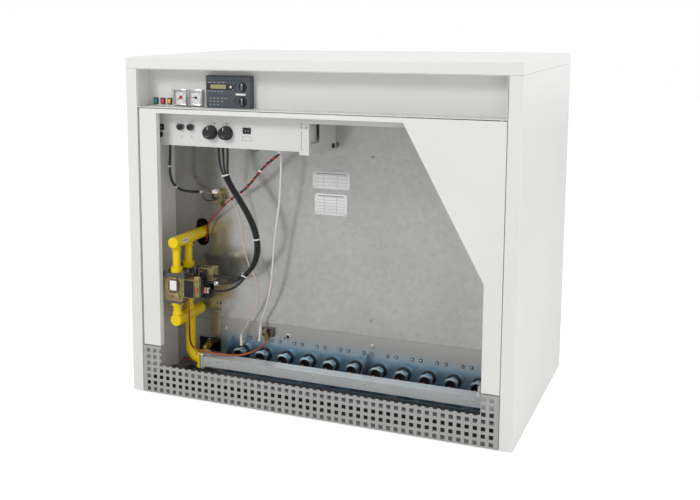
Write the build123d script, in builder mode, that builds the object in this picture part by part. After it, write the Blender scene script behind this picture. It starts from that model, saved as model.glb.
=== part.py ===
from build123d import *
import os
from math import cos, floor, radians, sin, tan

os.makedirs("parts", exist_ok=True)

# A floor-standing gas boiler with an atmospheric burner row. Millimetres, +Z up, front face towards -Y.
# The origin is on the floor, under the middle of the whole part.

# Casing sizes
casing_width = 1170.0
casing_depth = 760.0
casing_height = 1030.0
connection_reach = 40.0
casing_sheet = 1.5
panel_fold = 36.0
fold_lip = 20.0
panel_foot_gap = 4.0
lid_height = 33.0
lid_edge_radius = 3.0
lid_seat_gap = 0.5

# Fascia and door sizes
fascia_height = 115.0
fascia_recess = 72.0
fascia_side_gap = 2.0
door_thickness = 20.0
door_gap_left = 7.0
door_gap_right = 2.0
door_gap_above = 2.5
door_gap_below = 3.0
door_sheet = 1.5
door_axis_inset = 14.0
door_axis_depth = 5.0
hinge_pin_diameter = 6.0
hinge_pin_clearance = 0.05
hinge_pin_reach = 16.0
magnet_size = (40.0, 13.0, 12.0)

# Cut-away window of the door and the plinth, measured from the casing's two sides and the floor
window_left_margin = 101.0
window_right_margin = 87.0
window_slope_run = 226.0
window_slope_end_height = 450.0
window_top_below_door = 13.0
window_bottom = 94.0

# Plinth grille sizes
plinth_top = 152.0
plinth_depth = 14.0
hole_pitch_x = 22.0
hole_pitch_z = 20.5
hole_size = 12.0
hole_first_height = 14.5
hole_rows = 7
hole_side_margin = 50.0

# Frames
base_rail_height = 24.0
base_rail_width = 36.0
plinth_seat_gap = 0.4
bearer_width = 40.0
bay_depth = 215.0
liner_sheet = 1.5
rail_height = 40.0
cross_rail_front = 50.0
cross_rail_depth = 30.0
inner_sheet = 1.5
inner_panel_bottom = 200.0
inner_panel_top_gap = 12.0

# Gas pipes: axis from the casing's left side, heights from the floor
gas_axis_x = 134.0
upper_header_z = 472.0
upper_header_diameter = 35.0
upper_cap_depth = 25.0
riser_diameter = 24.0
front_riser_y = 48.0
riser_spacing = 74.0
collar_diameter = 37.0
collar_height = 16.0
valve_top = 366.0
valve_height = 74.0
valve_flange = (74.0, 46.0, 14.0)
lower_flange = (50.0, 46.0, 5.0)
lower_header_z = 230.0
lower_header_diameter = 38.0
lower_cap_depth = 33.0
lower_header_length = 164.0
down_pipe_diameter = 31.0
down_pipe_y = 128.0
elbow_radius = 36.0
pipe_wall = 3.2
slot_clearance = 5.5
slot_length = 88.0
pipe_hole_clearance = 0.5

# Valve body and actuator
body_width = 60.0
body_depth = 46.0
cover_plate = (46.0, 3.0, 66.0)
front_coil_width = 40.0
rear_coil_width = 16.0
coil_depth = 44.0
coil_height = 58.0
coil_gap = 1.0
coil_ribs = 4
coil_rib_gap = 3.0
coil_rib_depth = 1.5
bracket_sheet = 3.0
bracket_rise = 20.0
bracket_fold = 48.0
coil_end = (18.0, 40.0, 64.0)
plug_block = (24.0, 40.0, 54.0)
side_block = (20.0, 34.0, 36.0)
plug_socket = (29.0, 38.0, 24.0)
plug_base = (33.0, 36.0, 14.0)

# Burner row
tray_side_gap = 3.0
gas_bay_width = 204.0
burner_pitch = 75.5
burner_first = 36.0
burner_last_margin = 22.0
burner_axis_z = 97.0
burner_tube_diameter = 34.0
burner_tube_wall = 1.5
burner_mouth_diameter = 43.0
burner_mouth_reach = 39.0
burner_hole_diameter = 44.0
burner_bar = (36.0, 340.0, 50.0)
burner_tube_length = 74.0
tray_bottom = 60.0
tray_sheet = 1.5
tray_top = 200.0
gusset_reach = 62.0
gusset_height = 86.0
gusset_tip = 45.0
plate_overlap = 43.0
shelf_rear_gap = 3.0
burner_foot = (16.0, 14.0)
manifold_depth = 44.0
manifold_height = 30.0
manifold_rear_gap = 26.0
manifold_axis_drop = 11.0
manifold_wall = 2.5
flange_size = 50.0
flange_sheet = 8.0
gasket_sheet = 3.0
injector_diameter = 9.0
injector_length = 14.0
nipple_diameter = 9.0
nipple_height = 24.0

# Boiler block
block_gap = 8.0
section_body = 50.0
section_height = 490.0
section_rear_gap = 118.0
section_wall = 8.0
section_gap = 0.4
port_diameter = 92.0
port_inset = 70.0
rod_diameter = 12.0
rod_inset = 26.0
nut_width = 22.0
nut_thickness = 12.0
jacket_sheet = 28.0
jacket_gap = 16.0
jacket_rear_gap = 6.0
jacket_drop = 60.0
hood_sheet = 1.5
hood_top_gap = 40.0
hood_rear_gap = 34.0
hood_side = 10.0
hood_front_height = 60.0
hood_flat_depth = 175.0
spigot_top_gap = 12.0
spigot_diameter = 250.0
spigot_bead = (254.0, 3.0)
water_pipe_diameter = 60.3
water_thread_diameter = 59.6
water_wall = 3.6
thread_length = 34.0
gas_thread_diameter = 33.2
water_section = 1

# Instruments, measured from the casing's left side and from the fascia's lower edge
lamp_positions = (60.0, 84.0, 107.0)
lamp_width = 15.0
lamp_height = 19.0
lamp_rise = 15.0
lamp_reach = 5.0
lamp_lens = (10.0, 13.0, 2.0)
lamp_lap = 1.5
gauge_positions = (148.0, 199.0)
gauge_size = 48.0
gauge_rise = 28.0
gauge_reach = 12.0
gauge_frame = 4.0
gauge_cutout = 42.0
gauge_body_depth = 26.0
dial_face_depth = 8.0
pointer_length = 15.0
pointer_sheet = 0.8
pointer_hub = 7.0
pointer_spindle = 2.0
controller_x = 315.0
controller_width = 144.0
controller_height = 94.0
controller_rise = 48.5
controller_reach = 24.0
controller_body_depth = 30.0
controller_lap = 4.0
controller_edge_radius = 2.0
display_height = 18.0
display_right = 13.0
dial_diameter = 27.0
dial_x = 47.0
dial_rises = (15.0, -27.0)
dial_reach = 5.0
dial_recess = 3.0
dial_recess_length = 41.0
dial_grip_width = 7.0
dial_spindle_depth = 14.0
button_diameter = 8.0
button_x = 10.0
button_rise = 15.0
button_travel = 1.5
button_reach = 2.5
button_body = 10.0

# Control box, positions from the casing's left side and from the box's lower edge
box_front = 52.0
box_top_gap = 34.0
box_height = 81.0
box_depth = 100.0
box_right = 538.0
box_sheet = 1.5
bracket_width = 30.0
bracket_drop = 9.0
bracket_splay = 17.0
bracket_window = (58.0, 116.0)
knob_diameter = 42.0
knob_reach = 23.0
knob_skirt = 6.0
knob_positions = (256.0, 307.0)
knob_rise = 44.0
cap_diameter = 20.0
cap_length = 10.0
cap_stem = 8.0
cap_positions = (155.0, 189.0)
cap_rise = 57.0
cap_travel = 3.0
rocker_width = 20.0
rocker_height = 12.5
rocker_tilt = 8.0
rocker_positions = (84.0, 373.0)
rocker_rise = 53.0
rocker_gap = 0.8
fuse_rise = 31.0
fuse_diameter = 15.0
fuse_reach = 5.0
control_body_depth = 20.0
spindle_diameter = 6.0
running_clearance = 0.05
seat_gap = 0.4

# Small pieces
screw_head = 8.0
screw_head_height = 2.5
screw_shank = 4.0
screw_reach = 6.0
panel_screw_xs = (186.0, 197.0)
panel_screw_zs = (224.0, 245.0)
plate_screw_z = 145.0
plate_screw_spacing = 26.0
cock_x = 164.0
cock_z = 112.0
cock_diameter = 17.0
cock_reach = 32.0
cock_pipe = 14.0
cock_spindle = (9.0, 13.0)
cock_lever = (44.0, 12.0, 4.0)
drain_depth = 60.0
drain_rise = 40.0
drain_bend = 24.0
drain_hole_x = (46.0, 30.0)
drain_hole_z = (28.0, 16.0)
access_cover_margin = 46.0
access_cover_sheet = 2.0
switch_x = 203.0
switch_z = 590.0
switch_diameter = 34.0
switch_length = 28.0
switch_plate = (20.0, 14.0, 30.0, 24.0)
switch_plug = 18.0
switch_stem = (11.0, 34.0)
pilot_x = 361.0
pilot_z = 172.0
pilot_plate = (44.0, 3.0, 30.0)
pilot_head = (14.0, 24.0)
pilot_inlet = (9.0, 20.0)
electrode_diameter = 7.0
electrode_clearance = 0.2
electrode_depth = 28.0
boot_diameter = 9.0
boot_reach = 24.0
boot_rise = 14.0
ignition_offset = -14.0
ionisation_x = 280.0
ionisation_z = 130.0
harness_wire = 6.5
harness_pitch = 8.0
left_cable_diameter = 8.0
twisted_pair_diameter = 7.0
ignition_diameter = 6.0
ionisation_diameter = 4.0
pilot_tube_diameter = 6.0

# Places worked out from the sizes above
total_depth = casing_depth + connection_reach
left = -casing_width / 2
right = casing_width / 2
front = -total_depth / 2
back = front + casing_depth
lid_bottom = casing_height - lid_height
fascia_bottom = lid_bottom - fascia_height
liner_left = left + panel_fold
liner_right = right - panel_fold
inner_y = front + bay_depth
fascia_y = front + fascia_recess
box_y = front + box_front
door_left = liner_left + door_gap_left
door_right = liner_right - door_gap_right
door_bottom = plinth_top + door_gap_below
door_top = fascia_bottom - door_gap_above
tray_left = liner_left + gas_bay_width
tray_right = liner_right - tray_side_gap
plate_left = tray_left - plate_overlap
first_burner_x = tray_left + burner_first
burner_count = floor((tray_right - burner_last_margin - first_burner_x) / burner_pitch) + 1
burner_xs = [first_burner_x + i * burner_pitch for i in range(burner_count)]
mouth_y = inner_y - burner_mouth_reach
manifold_back = mouth_y - manifold_rear_gap
manifold_y = manifold_back - manifold_depth / 2
manifold_z = burner_axis_z - manifold_axis_drop
gas_x = left + gas_axis_x
riser_ys = (front + front_riser_y, front + front_riser_y + riser_spacing)
valve_bottom = valve_top - valve_height
block_front = inner_y + inner_sheet + block_gap
block_back = back - section_rear_gap
block_bottom = tray_top
block_top = block_bottom + section_height
section_xs = [x - burner_pitch / 2 for x in burner_xs] + [burner_xs[-1] + burner_pitch / 2]
gas_rear_y = back + connection_reach
box_left = liner_left + liner_sheet
casing_to_jacket = tray_left - jacket_gap - jacket_sheet - left
box_right_x = left + box_right
box_top = fascia_bottom - box_top_gap
box_bottom = box_top - box_height
pin_x = door_right - door_axis_inset
pin_y = front + door_axis_depth
pilot_at = left + pilot_x
pilot_y = inner_y - 12.0
ignition_at = pilot_at + ignition_offset
ionisation_at = left + ionisation_x
flow_z = block_top - port_inset
return_z = block_bottom + port_inset
return_y = (block_front + block_back) / 2
flow_y = block_back - port_inset
water_x = section_xs[water_section]
knob_z = box_bottom + knob_rise
cap_z = box_bottom + cap_rise
rocker_z = box_bottom + rocker_rise
fuse_z = box_bottom + fuse_rise
lamp_z = fascia_bottom + lamp_rise
gauge_z = fascia_bottom + gauge_rise
controller_z = fascia_bottom + controller_rise
controller_front = fascia_y - controller_reach


def keep(piece, name):
    """Labels a finished piece and writes it to its own file."""
    piece.part.label = name
    export_step(piece.part, f"parts/{name}.step")


def block(xs, ys, zs, mode=Mode.ADD):
    """A box between two corners, given as (low, high) along each axis, in the part being built."""
    with Locations(((xs[0] + xs[1]) / 2, (ys[0] + ys[1]) / 2, (zs[0] + zs[1]) / 2)):
        Box(xs[1] - xs[0], ys[1] - ys[0], zs[1] - zs[0], mode=mode)


def rod(centre, direction, diameter, length, mode=Mode.ADD):
    """A cylinder that starts at a point and runs along a direction, in the part being built."""
    with BuildSketch(Plane(origin=centre, z_dir=direction)) as disc:
        Circle(diameter / 2)
    extrude(disc.sketch, amount=length, mode=mode)


def bend_radii(route):
    """The bend at each corner of a cord's route, made as wide as the shorter run beside it allows."""
    radii = []
    for before, here, after in zip(route, route[1:], route[2:]):
        run_in = Vector(*here) - Vector(*before)
        run_out = Vector(*after) - Vector(*here)
        half_turn = radians(run_in.get_angle(run_out)) / 2
        radii.append(0.45 * min(run_in.length, run_out.length) / tan(half_turn))
    return radii


def place(route):
    """Turns a route given from the casing's left side and front into the part's own frame."""
    return [(left + x, front + y, z) for x, y, z in route]


def cord(route, diameter, name):
    """Adds a round cord along a route from the casing's left side and front, and prints its bends."""
    points = place(route)
    radii = bend_radii(points)
    print(name, "bend radii", [round(r) for r in radii])
    with BuildLine() as path:
        FilletPolyline(*points, radius=radii)
    with BuildSketch(Plane(origin=path.line @ 0, z_dir=path.line % 0)) as section:
        Circle(diameter / 2)
    added = sweep(section.sketch, path=path.line)
    length = sum(edge.length for edge in path.edges())
    expected = length * section.sketch.area
    print(name, "length", round(length), "volume ratio", round(added.volume / expected, 4))


# Side panels: folded cassettes with a front and a rear flange
def side_panel(side):
    middle_x = side * (casing_width - panel_fold) / 2
    middle_y = (front + back) / 2
    with BuildPart() as panel:
        with BuildSketch(Plane((middle_x, middle_y, panel_foot_gap))) as section:
            Rectangle(panel_fold, casing_depth)
            outer_corners = section.vertices().group_by(Axis.X)[0 if side < 0 else -1]
            fillet(outer_corners, radius=casing_sheet)
            Rectangle(panel_fold - 2 * casing_sheet, casing_depth - 2 * casing_sheet, mode=Mode.SUBTRACT)
            with Locations((-side * panel_fold / 2, 0)):
                Rectangle(4 * casing_sheet, casing_depth - 2 * fold_lip, mode=Mode.SUBTRACT)
        extrude(amount=lid_bottom - lid_seat_gap - panel_foot_gap)
        shelf_x = sorted((side * (casing_width / 2 - casing_sheet), side * (casing_width / 2 - panel_fold)))
        for low in (panel_foot_gap, lid_bottom - lid_seat_gap - casing_sheet):
            block(shelf_x, (front + casing_sheet, back - casing_sheet), (low, low + casing_sheet))
    return panel


left_side_panel = side_panel(-1)
keep(left_side_panel, "left_side_panel")
right_side_panel = side_panel(1)
keep(right_side_panel, "right_side_panel")


# Top cover: a shallow tray turned upside down, flush with the casing all round
with BuildPart() as top_cover:
    with BuildSketch(Plane((0, (front + back) / 2, lid_bottom))):
        Rectangle(casing_width, casing_depth)
    extrude(amount=lid_height)
    fillet(top_cover.faces().sort_by(Axis.Z)[-1].edges(), radius=lid_edge_radius)
    with BuildSketch(Plane((0, (front + back) / 2, lid_bottom))):
        Rectangle(casing_width - 2 * casing_sheet, casing_depth - 2 * casing_sheet)
    extrude(amount=lid_height - casing_sheet, mode=Mode.SUBTRACT)
    rest_y = (front + casing_sheet, back - casing_sheet)
    rest_z = (lid_bottom, lid_bottom + casing_sheet)
    for side_low, side_high in ((left, left + panel_fold), (right - panel_fold, right)):
        block((side_low + casing_sheet, side_high - casing_sheet), rest_y, rest_z)
keep(top_cover, "top_cover")


# Base frame: four floor rails and two bearers that carry the burner tray
with BuildPart() as base_frame:
    ring_x = (liner_left + seat_gap, liner_right - seat_gap)
    ring_y = (front + plinth_depth + plinth_seat_gap, back - casing_sheet - seat_gap)
    block(ring_x, ring_y, (0, base_rail_height))
    block(
        (ring_x[0] + base_rail_width, ring_x[1] - base_rail_width),
        (ring_y[0] + base_rail_width, ring_y[1] - base_rail_width),
        (0, base_rail_height),
        mode=Mode.SUBTRACT,
    )
    for bearer_y in (inner_y + bearer_width, block_back - bearer_width):
        block((ring_x[0], ring_x[1]), (bearer_y, bearer_y + bearer_width), (0, base_rail_height))
        block((tray_left, tray_right), (bearer_y, bearer_y + bearer_width), (base_rail_height, tray_bottom))
keep(base_frame, "base_frame")


# Front frame: liner walls beside the bay, joined by a top rail, a foot rail and a cross rail behind the door
with BuildPart() as front_frame:
    frame_top = lid_bottom - inner_panel_top_gap
    wall_y = (front + fold_lip + 2.0, inner_y)
    for x in (liner_left, liner_right - liner_sheet):
        block((x, x + liner_sheet), wall_y, (base_rail_height, frame_top))
    span = (liner_left, liner_right)
    block(span, (inner_y - base_rail_width, inner_y), (frame_top - liner_sheet, frame_top))
    block(span, (inner_y - liner_sheet, inner_y), (frame_top - rail_height, frame_top))
    foot_y = (ring_y[0], ring_y[0] + base_rail_width)
    foot_top = base_rail_height + base_rail_width / 2
    block(span, foot_y, (base_rail_height, base_rail_height + liner_sheet))
    block(span, (foot_y[1] - liner_sheet, foot_y[1]), (base_rail_height, foot_top))
    cross_y = (front + cross_rail_front, front + cross_rail_front + cross_rail_depth)
    cross_z = (box_top, fascia_bottom - seat_gap)
    block(span, (cross_y[0], cross_y[0] + liner_sheet), cross_z)
    block(span, cross_y, (cross_z[0], cross_z[0] + liner_sheet))
    block(span, cross_y, (cross_z[1] - liner_sheet, cross_z[1]))
keep(front_frame, "front_frame")


# Inner front panel: galvanised sheet with a slot for the gas header and a top fold
slot_width = upper_header_diameter + 2 * slot_clearance
screw_hole = screw_shank + 2 * running_clearance
panel_screw_points = [(left + x, z) for x in panel_screw_xs for z in panel_screw_zs]
with BuildPart() as inner_front_panel:
    panel_x = (box_left, liner_right - liner_sheet)
    panel_top = lid_bottom - inner_panel_top_gap - liner_sheet
    block(panel_x, (inner_y, inner_y + inner_sheet), (inner_panel_bottom, panel_top))
    block(panel_x, (inner_y, inner_y + fold_lip), (panel_top - inner_sheet, panel_top))
    with BuildSketch(Plane((gas_x, inner_y - 1.0, upper_header_z), x_dir=(0, 0, 1), z_dir=(0, 1, 0))):
        SlotOverall(slot_length, slot_width)
    extrude(amount=inner_sheet + 2.0, mode=Mode.SUBTRACT)
    for x, z in panel_screw_points:
        rod((x, inner_y - 1.0, z), (0, 1, 0), screw_hole, inner_sheet + 2.0, mode=Mode.SUBTRACT)
keep(inner_front_panel, "inner_front_panel")


# Lower left plate, beside the burner tray, with the drain opening
drain_hole_left = left + cock_x - drain_hole_x[0]
drain_hole_right = left + cock_x + drain_hole_x[1]
drain_hole_low = cock_z - drain_hole_z[0]
drain_hole_high = cock_z + drain_hole_z[1]
with BuildPart() as lower_left_plate:
    plate_y = (inner_y, inner_y + inner_sheet)
    block((box_left, plate_left - 1.0), plate_y, (base_rail_height, inner_panel_bottom - 0.5))
    block(
        (drain_hole_left, drain_hole_right),
        (inner_y - 1.0, inner_y + inner_sheet + 1.0),
        (drain_hole_low, drain_hole_high),
        mode=Mode.SUBTRACT,
    )
keep(lower_left_plate, "lower_left_plate")


# Cover plate over the cleaning opening, above the drain opening
with BuildPart() as access_cover:
    cover_x = (tray_left - access_cover_margin - 132.0, tray_left - access_cover_margin)
    cover_z = (drain_hole_high + 4.0, inner_panel_bottom - 10.0)
    cover_middle = ((cover_x[0] + cover_x[1]) / 2, inner_y, (cover_z[0] + cover_z[1]) / 2)
    with BuildSketch(Plane(cover_middle, x_dir=(1, 0, 0), z_dir=(0, -1, 0))):
        RectangleRounded(cover_x[1] - cover_x[0], cover_z[1] - cover_z[0], 8.0)
    extrude(amount=access_cover_sheet)
    fillet(access_cover.faces().sort_by(Axis.Y)[0].edges(), radius=0.8)
keep(access_cover, "access_cover")


# Rear panel with holes for the flue, the water pipes and the gas pipe
hood_top = lid_bottom - hood_top_gap
spigot_z = hood_top - spigot_diameter / 2 - spigot_top_gap
spigot_x = (section_xs[0] + section_xs[-1]) / 2
with BuildPart() as rear_panel:
    block((liner_left, liner_right), (back - casing_sheet, back), (panel_foot_gap, lid_bottom - lid_seat_gap))
    hole_start = back - 3 * casing_sheet
    hole_reach = 6 * casing_sheet
    outward = (0, 1, 0)
    spigot_hole = spigot_diameter + 2 * pipe_hole_clearance
    rod((spigot_x, hole_start, spigot_z), outward, spigot_hole, hole_reach, mode=Mode.SUBTRACT)
    for z in (flow_z, return_z):
        water_hole = water_pipe_diameter + 2 * pipe_hole_clearance
        rod((water_x, hole_start, z), outward, water_hole, hole_reach, mode=Mode.SUBTRACT)
    gas_hole = upper_header_diameter + 2 * pipe_hole_clearance
    rod((gas_x, hole_start, upper_header_z), outward, gas_hole, hole_reach, mode=Mode.SUBTRACT)
keep(rear_panel, "rear_panel")


# Fascia panel: recessed face, ledge over the door and side cheeks, folded from one sheet
fascia_x = (liner_left + fascia_side_gap, liner_right - fascia_side_gap)
fascia_top = lid_bottom - lid_seat_gap
with BuildPart() as fascia_panel:
    block(fascia_x, (fascia_y, fascia_y + casing_sheet), (fascia_bottom, fascia_top))
    block(fascia_x, (front, fascia_y), (fascia_bottom, fascia_bottom + casing_sheet))
    block(fascia_x, (front, front + casing_sheet), (fascia_bottom, fascia_bottom + casing_sheet + 1.0))
    block(fascia_x, (front + 1.0, fascia_y), (fascia_top - casing_sheet, fascia_top))
    for x in (fascia_x[0], fascia_x[1] - casing_sheet):
        block((x, x + casing_sheet), (front, fascia_y), (fascia_bottom, fascia_top))
    cut_y = (fascia_y - 1.0, fascia_y + casing_sheet + 1.0)
    lamp_hole_z = (lamp_z - lamp_height / 2 + lamp_lap, lamp_z + lamp_height / 2 - lamp_lap)
    for x in lamp_positions:
        lamp_hole_x = (left + x - lamp_width / 2 + lamp_lap, left + x + lamp_width / 2 - lamp_lap)
        block(lamp_hole_x, cut_y, lamp_hole_z, mode=Mode.SUBTRACT)
    for x in gauge_positions:
        gauge_x = (left + x - gauge_cutout / 2, left + x + gauge_cutout / 2)
        block(gauge_x, cut_y, (gauge_z - gauge_cutout / 2, gauge_z + gauge_cutout / 2), mode=Mode.SUBTRACT)
    cut_half_width = controller_width / 2 - controller_lap
    cut_half_height = controller_height / 2 - controller_lap
    cut_x = (left + controller_x - cut_half_width, left + controller_x + cut_half_width)
    cut_z = (controller_z - cut_half_height, controller_z + cut_half_height)
    block(cut_x, cut_y, cut_z, mode=Mode.SUBTRACT)
    pin_start = (pin_x, pin_y, fascia_bottom - 1.0)
    rod(pin_start, (0, 0, 1), hinge_pin_diameter, casing_sheet + 2.0, mode=Mode.SUBTRACT)
keep(fascia_panel, "fascia_panel")


# Plinth grille: perforated sheet with its window, top fold and side folds
columns = 2 * floor((casing_width / 2 - hole_side_margin) / hole_pitch_x) + 1
plinth_x = (liner_left + fascia_side_gap, liner_right - fascia_side_gap)
cut_left = left + window_left_margin
cut_right = right - window_right_margin
with BuildPart() as plinth_grille:
    block(plinth_x, (front, front + casing_sheet), (panel_foot_gap, plinth_top))
    block(plinth_x, (front, front + plinth_depth), (plinth_top - casing_sheet, plinth_top))
    for x in (plinth_x[0], plinth_x[1] - casing_sheet):
        block((x, x + casing_sheet), (front, front + plinth_depth), (panel_foot_gap, plinth_top))
    block(
        (cut_left, cut_right),
        (front - 1.0, front + plinth_depth + 1.0),
        (window_bottom, plinth_top + 1.0),
        mode=Mode.SUBTRACT,
    )
    grid_middle = (0, front - 1.0, hole_first_height + hole_pitch_z * (hole_rows - 1) / 2)
    with BuildSketch(Plane(grid_middle, x_dir=(1, 0, 0), z_dir=(0, -1, 0))):
        with GridLocations(hole_pitch_x, hole_pitch_z, columns, hole_rows):
            Rectangle(hole_size, hole_size)
    extrude(amount=-casing_sheet - 2.0, mode=Mode.SUBTRACT)
    pin_foot = (pin_x, pin_y, plinth_top - casing_sheet - 1.0)
    rod(pin_foot, (0, 0, 1), hinge_pin_diameter, casing_sheet + 2.0, mode=Mode.SUBTRACT)
keep(plinth_grille, "plinth_grille")


# Front door: a folded tray hinged on the right, with a cut-away window that runs out through its lower edge
cut_top = door_top - window_top_below_door
slope_start = cut_right - window_slope_run
with BuildPart() as front_door:
    block((door_left, door_right), (front, front + door_thickness), (door_bottom, door_top))
    fillet(front_door.faces().sort_by(Axis.Y)[0].edges(), radius=1.0)
    block(
        (door_left + door_sheet, door_right - door_sheet),
        (front + door_sheet, front + door_thickness + 1.0),
        (door_bottom + door_sheet, door_top - door_sheet),
        mode=Mode.SUBTRACT,
    )
    with BuildSketch(Plane((0, front, 0), x_dir=(1, 0, 0), z_dir=(0, -1, 0))):
        with BuildLine():
            Polyline(
                (cut_left - door_sheet, door_bottom + 0.5),
                (cut_left - door_sheet, cut_top + door_sheet),
                (slope_start + door_sheet, cut_top + door_sheet),
                (cut_right + door_sheet, window_slope_end_height + door_sheet),
                (cut_right + door_sheet, door_bottom + 0.5),
                close=True,
            )
        make_face()
    extrude(amount=-door_thickness)
    with BuildSketch(Plane((0, front - 1.0, 0), x_dir=(1, 0, 0), z_dir=(0, -1, 0))):
        with BuildLine():
            Polyline(
                (cut_left, door_bottom - 1.0),
                (cut_left, cut_top),
                (slope_start, cut_top),
                (cut_right, window_slope_end_height),
                (cut_right, door_bottom - 1.0),
                close=True,
            )
        make_face()
    extrude(amount=-door_thickness - 3.0, mode=Mode.SUBTRACT)
    hole = hinge_pin_diameter + 2 * hinge_pin_clearance
    for z in (door_bottom - 1.0, door_top - door_sheet - 1.0):
        rod((pin_x, pin_y, z), (0, 0, 1), hole, door_sheet + 2.0, mode=Mode.SUBTRACT)
keep(front_door, "front_door")


# Hinge pins: fixed in the ledge above and the plinth fold below, each reaching into the door's folded edge
with BuildPart() as hinge_pins:
    upper_length = hinge_pin_reach + door_gap_above + casing_sheet
    lower_length = casing_sheet + door_gap_below + hinge_pin_reach
    rod((pin_x, pin_y, door_top - hinge_pin_reach), (0, 0, 1), hinge_pin_diameter, upper_length)
    rod((pin_x, pin_y, plinth_top - casing_sheet), (0, 0, 1), hinge_pin_diameter, lower_length)
keep(hinge_pins, "hinge_pins")


# Door magnets: two blocks on the left liner wall that hold the shut door
with BuildPart() as door_magnets:
    magnet_x = (liner_left + liner_sheet, door_left + 15.0)
    magnet_y = (front + door_thickness + 0.3, front + door_thickness + 0.3 + magnet_size[1])
    for z in (door_bottom + 60.0, door_top - 60.0):
        block(magnet_x, magnet_y, (z - magnet_size[0] / 2, z + magnet_size[0] / 2))
keep(door_magnets, "door_magnets")


# Upper gas header: a pipe from the rear connection to the front, with two drop pipes and their collars
with BuildPart() as upper_gas_header:
    cap_y = front + upper_cap_depth
    rod((gas_x, cap_y, upper_header_z), (0, 1, 0), upper_header_diameter, gas_rear_y - cap_y - thread_length)
    rod((gas_x, cap_y, upper_header_z), (0, 1, 0), gas_thread_diameter, gas_rear_y - cap_y)
    fillet(upper_gas_header.edges().sort_by(Axis.Y)[0], radius=5.0)
    riser_foot = valve_top + valve_flange[2]
    for y in riser_ys:
        rod((gas_x, y, riser_foot), (0, 0, 1), riser_diameter, upper_header_z - riser_foot)
        rod((gas_x, y, riser_foot), (0, 0, 1), collar_diameter, collar_height)
    bore = upper_header_diameter - 2 * pipe_wall
    bore_start = (gas_x, cap_y + 2 * pipe_wall, upper_header_z)
    rod(bore_start, (0, 1, 0), bore, gas_rear_y - cap_y, mode=Mode.SUBTRACT)
keep(upper_gas_header, "upper_gas_header")


# Pipe flanges: a wide one on top of each valve and a thin one below it
with BuildPart() as valve_flanges:
    for y in riser_ys:
        for size, low in ((valve_flange, valve_top), (lower_flange, valve_bottom - lower_flange[2])):
            with BuildSketch(Plane((gas_x, y, low))):
                RectangleRounded(size[0], size[1], 6.0)
                Circle(riser_diameter / 2 - pipe_wall, mode=Mode.SUBTRACT)
            extrude(amount=size[2])
keep(valve_flanges, "valve_flanges")


# Gas valve: die-cast body with a pipe boss at each end and a raised cover on its front
def gas_valve(y):
    with BuildPart() as valve:
        with BuildSketch(Plane((gas_x, y, valve_bottom))):
            RectangleRounded(body_width, body_depth, 7.0)
        extrude(amount=valve_height)
        fillet(valve.edges().filter_by(Plane.XY), radius=3.0)
        cover_at = gas_x - (body_width - cover_plate[0]) / 2 + 1.0
        cover_middle = (cover_at, y - body_depth / 2, (valve_top + valve_bottom) / 2)
        with BuildSketch(Plane(cover_middle, x_dir=(1, 0, 0), z_dir=(0, -1, 0))):
            RectangleRounded(cover_plate[0], cover_plate[2], 5.0)
        extrude(amount=cover_plate[1])
        fillet(valve.faces().sort_by(Axis.Y)[0].edges(), radius=1.2)
        with BuildSketch(Plane((gas_x, y, valve_bottom))):
            Circle(riser_diameter / 2 - pipe_wall)
        extrude(amount=valve_height, mode=Mode.SUBTRACT)
    return valve


# Valve actuators: a ribbed coil beside each body. The front one is wide and ends in a plain housing.
# The rear one is narrow, with a folded bracket that holds the plug block, its side block, a socket and a base
coil_x = gas_x + body_width / 2
coil_z = valve_top - coil_gap - coil_height


def ribbed_coil(y, width):
    with BuildSketch(Plane((coil_x, y, coil_z + coil_height / 2), x_dir=(0, 1, 0), z_dir=(1, 0, 0))) as outline:
        RectangleRounded(coil_depth, coil_height, 5.0)
    extrude(outline.sketch, amount=width)
    rib_pitch = coil_height / (coil_ribs + 1)
    for i in range(coil_ribs):
        rib_z = coil_z + (i + 1) * rib_pitch - coil_rib_gap / 2
        block(
            (coil_x + 3.0, coil_x + width - 3.0),
            (y - coil_depth / 2 - 1.0, y - coil_depth / 2 + coil_rib_depth),
            (rib_z, rib_z + coil_rib_gap),
            mode=Mode.SUBTRACT,
        )


def beside(x, y, z, size):
    block((x, x + size[0]), (y - size[1] / 2, y + size[1] / 2), (z, z + size[2]))


front_gas_valve = gas_valve(riser_ys[0])
keep(front_gas_valve, "front_gas_valve")
rear_gas_valve = gas_valve(riser_ys[1])
keep(rear_gas_valve, "rear_gas_valve")
with BuildPart() as front_valve_actuator:
    ribbed_coil(riser_ys[0], front_coil_width)
    beside(coil_x + front_coil_width, riser_ys[0], coil_z + 5.0, coil_end)
    fillet(front_valve_actuator.edges().filter_by(Axis.Z).sort_by(Axis.X)[-2:], radius=3.0)
keep(front_valve_actuator, "front_valve_actuator")

bracket_x = coil_x + rear_coil_width
bracket_top = coil_z + coil_height + bracket_rise
plug_x = bracket_x + bracket_sheet
plug_top = bracket_top - bracket_sheet
socket_z = plug_top - plug_block[2] - plug_socket[2]
with BuildPart() as rear_valve_actuator:
    ribbed_coil(riser_ys[1], rear_coil_width)
    bracket_y = (riser_ys[1] - coil_depth / 2, riser_ys[1] + coil_depth / 2)
    block((bracket_x, bracket_x + bracket_sheet), bracket_y, (coil_z - 2.0, bracket_top))
    block((bracket_x, bracket_x + bracket_fold), bracket_y, (plug_top, bracket_top))
    beside(plug_x, riser_ys[1], plug_top - plug_block[2], plug_block)
    beside(plug_x + plug_block[0], riser_ys[1], plug_top - side_block[2], side_block)
    beside(plug_x, riser_ys[1], socket_z, plug_socket)
    beside(plug_x, riser_ys[1], socket_z - plug_base[2], plug_base)
    fillet(rear_valve_actuator.edges().filter_by(Axis.Y).sort_by(Axis.Z)[:2].sort_by(Axis.X)[-1], radius=3.0)
keep(rear_valve_actuator, "rear_valve_actuator")


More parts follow.
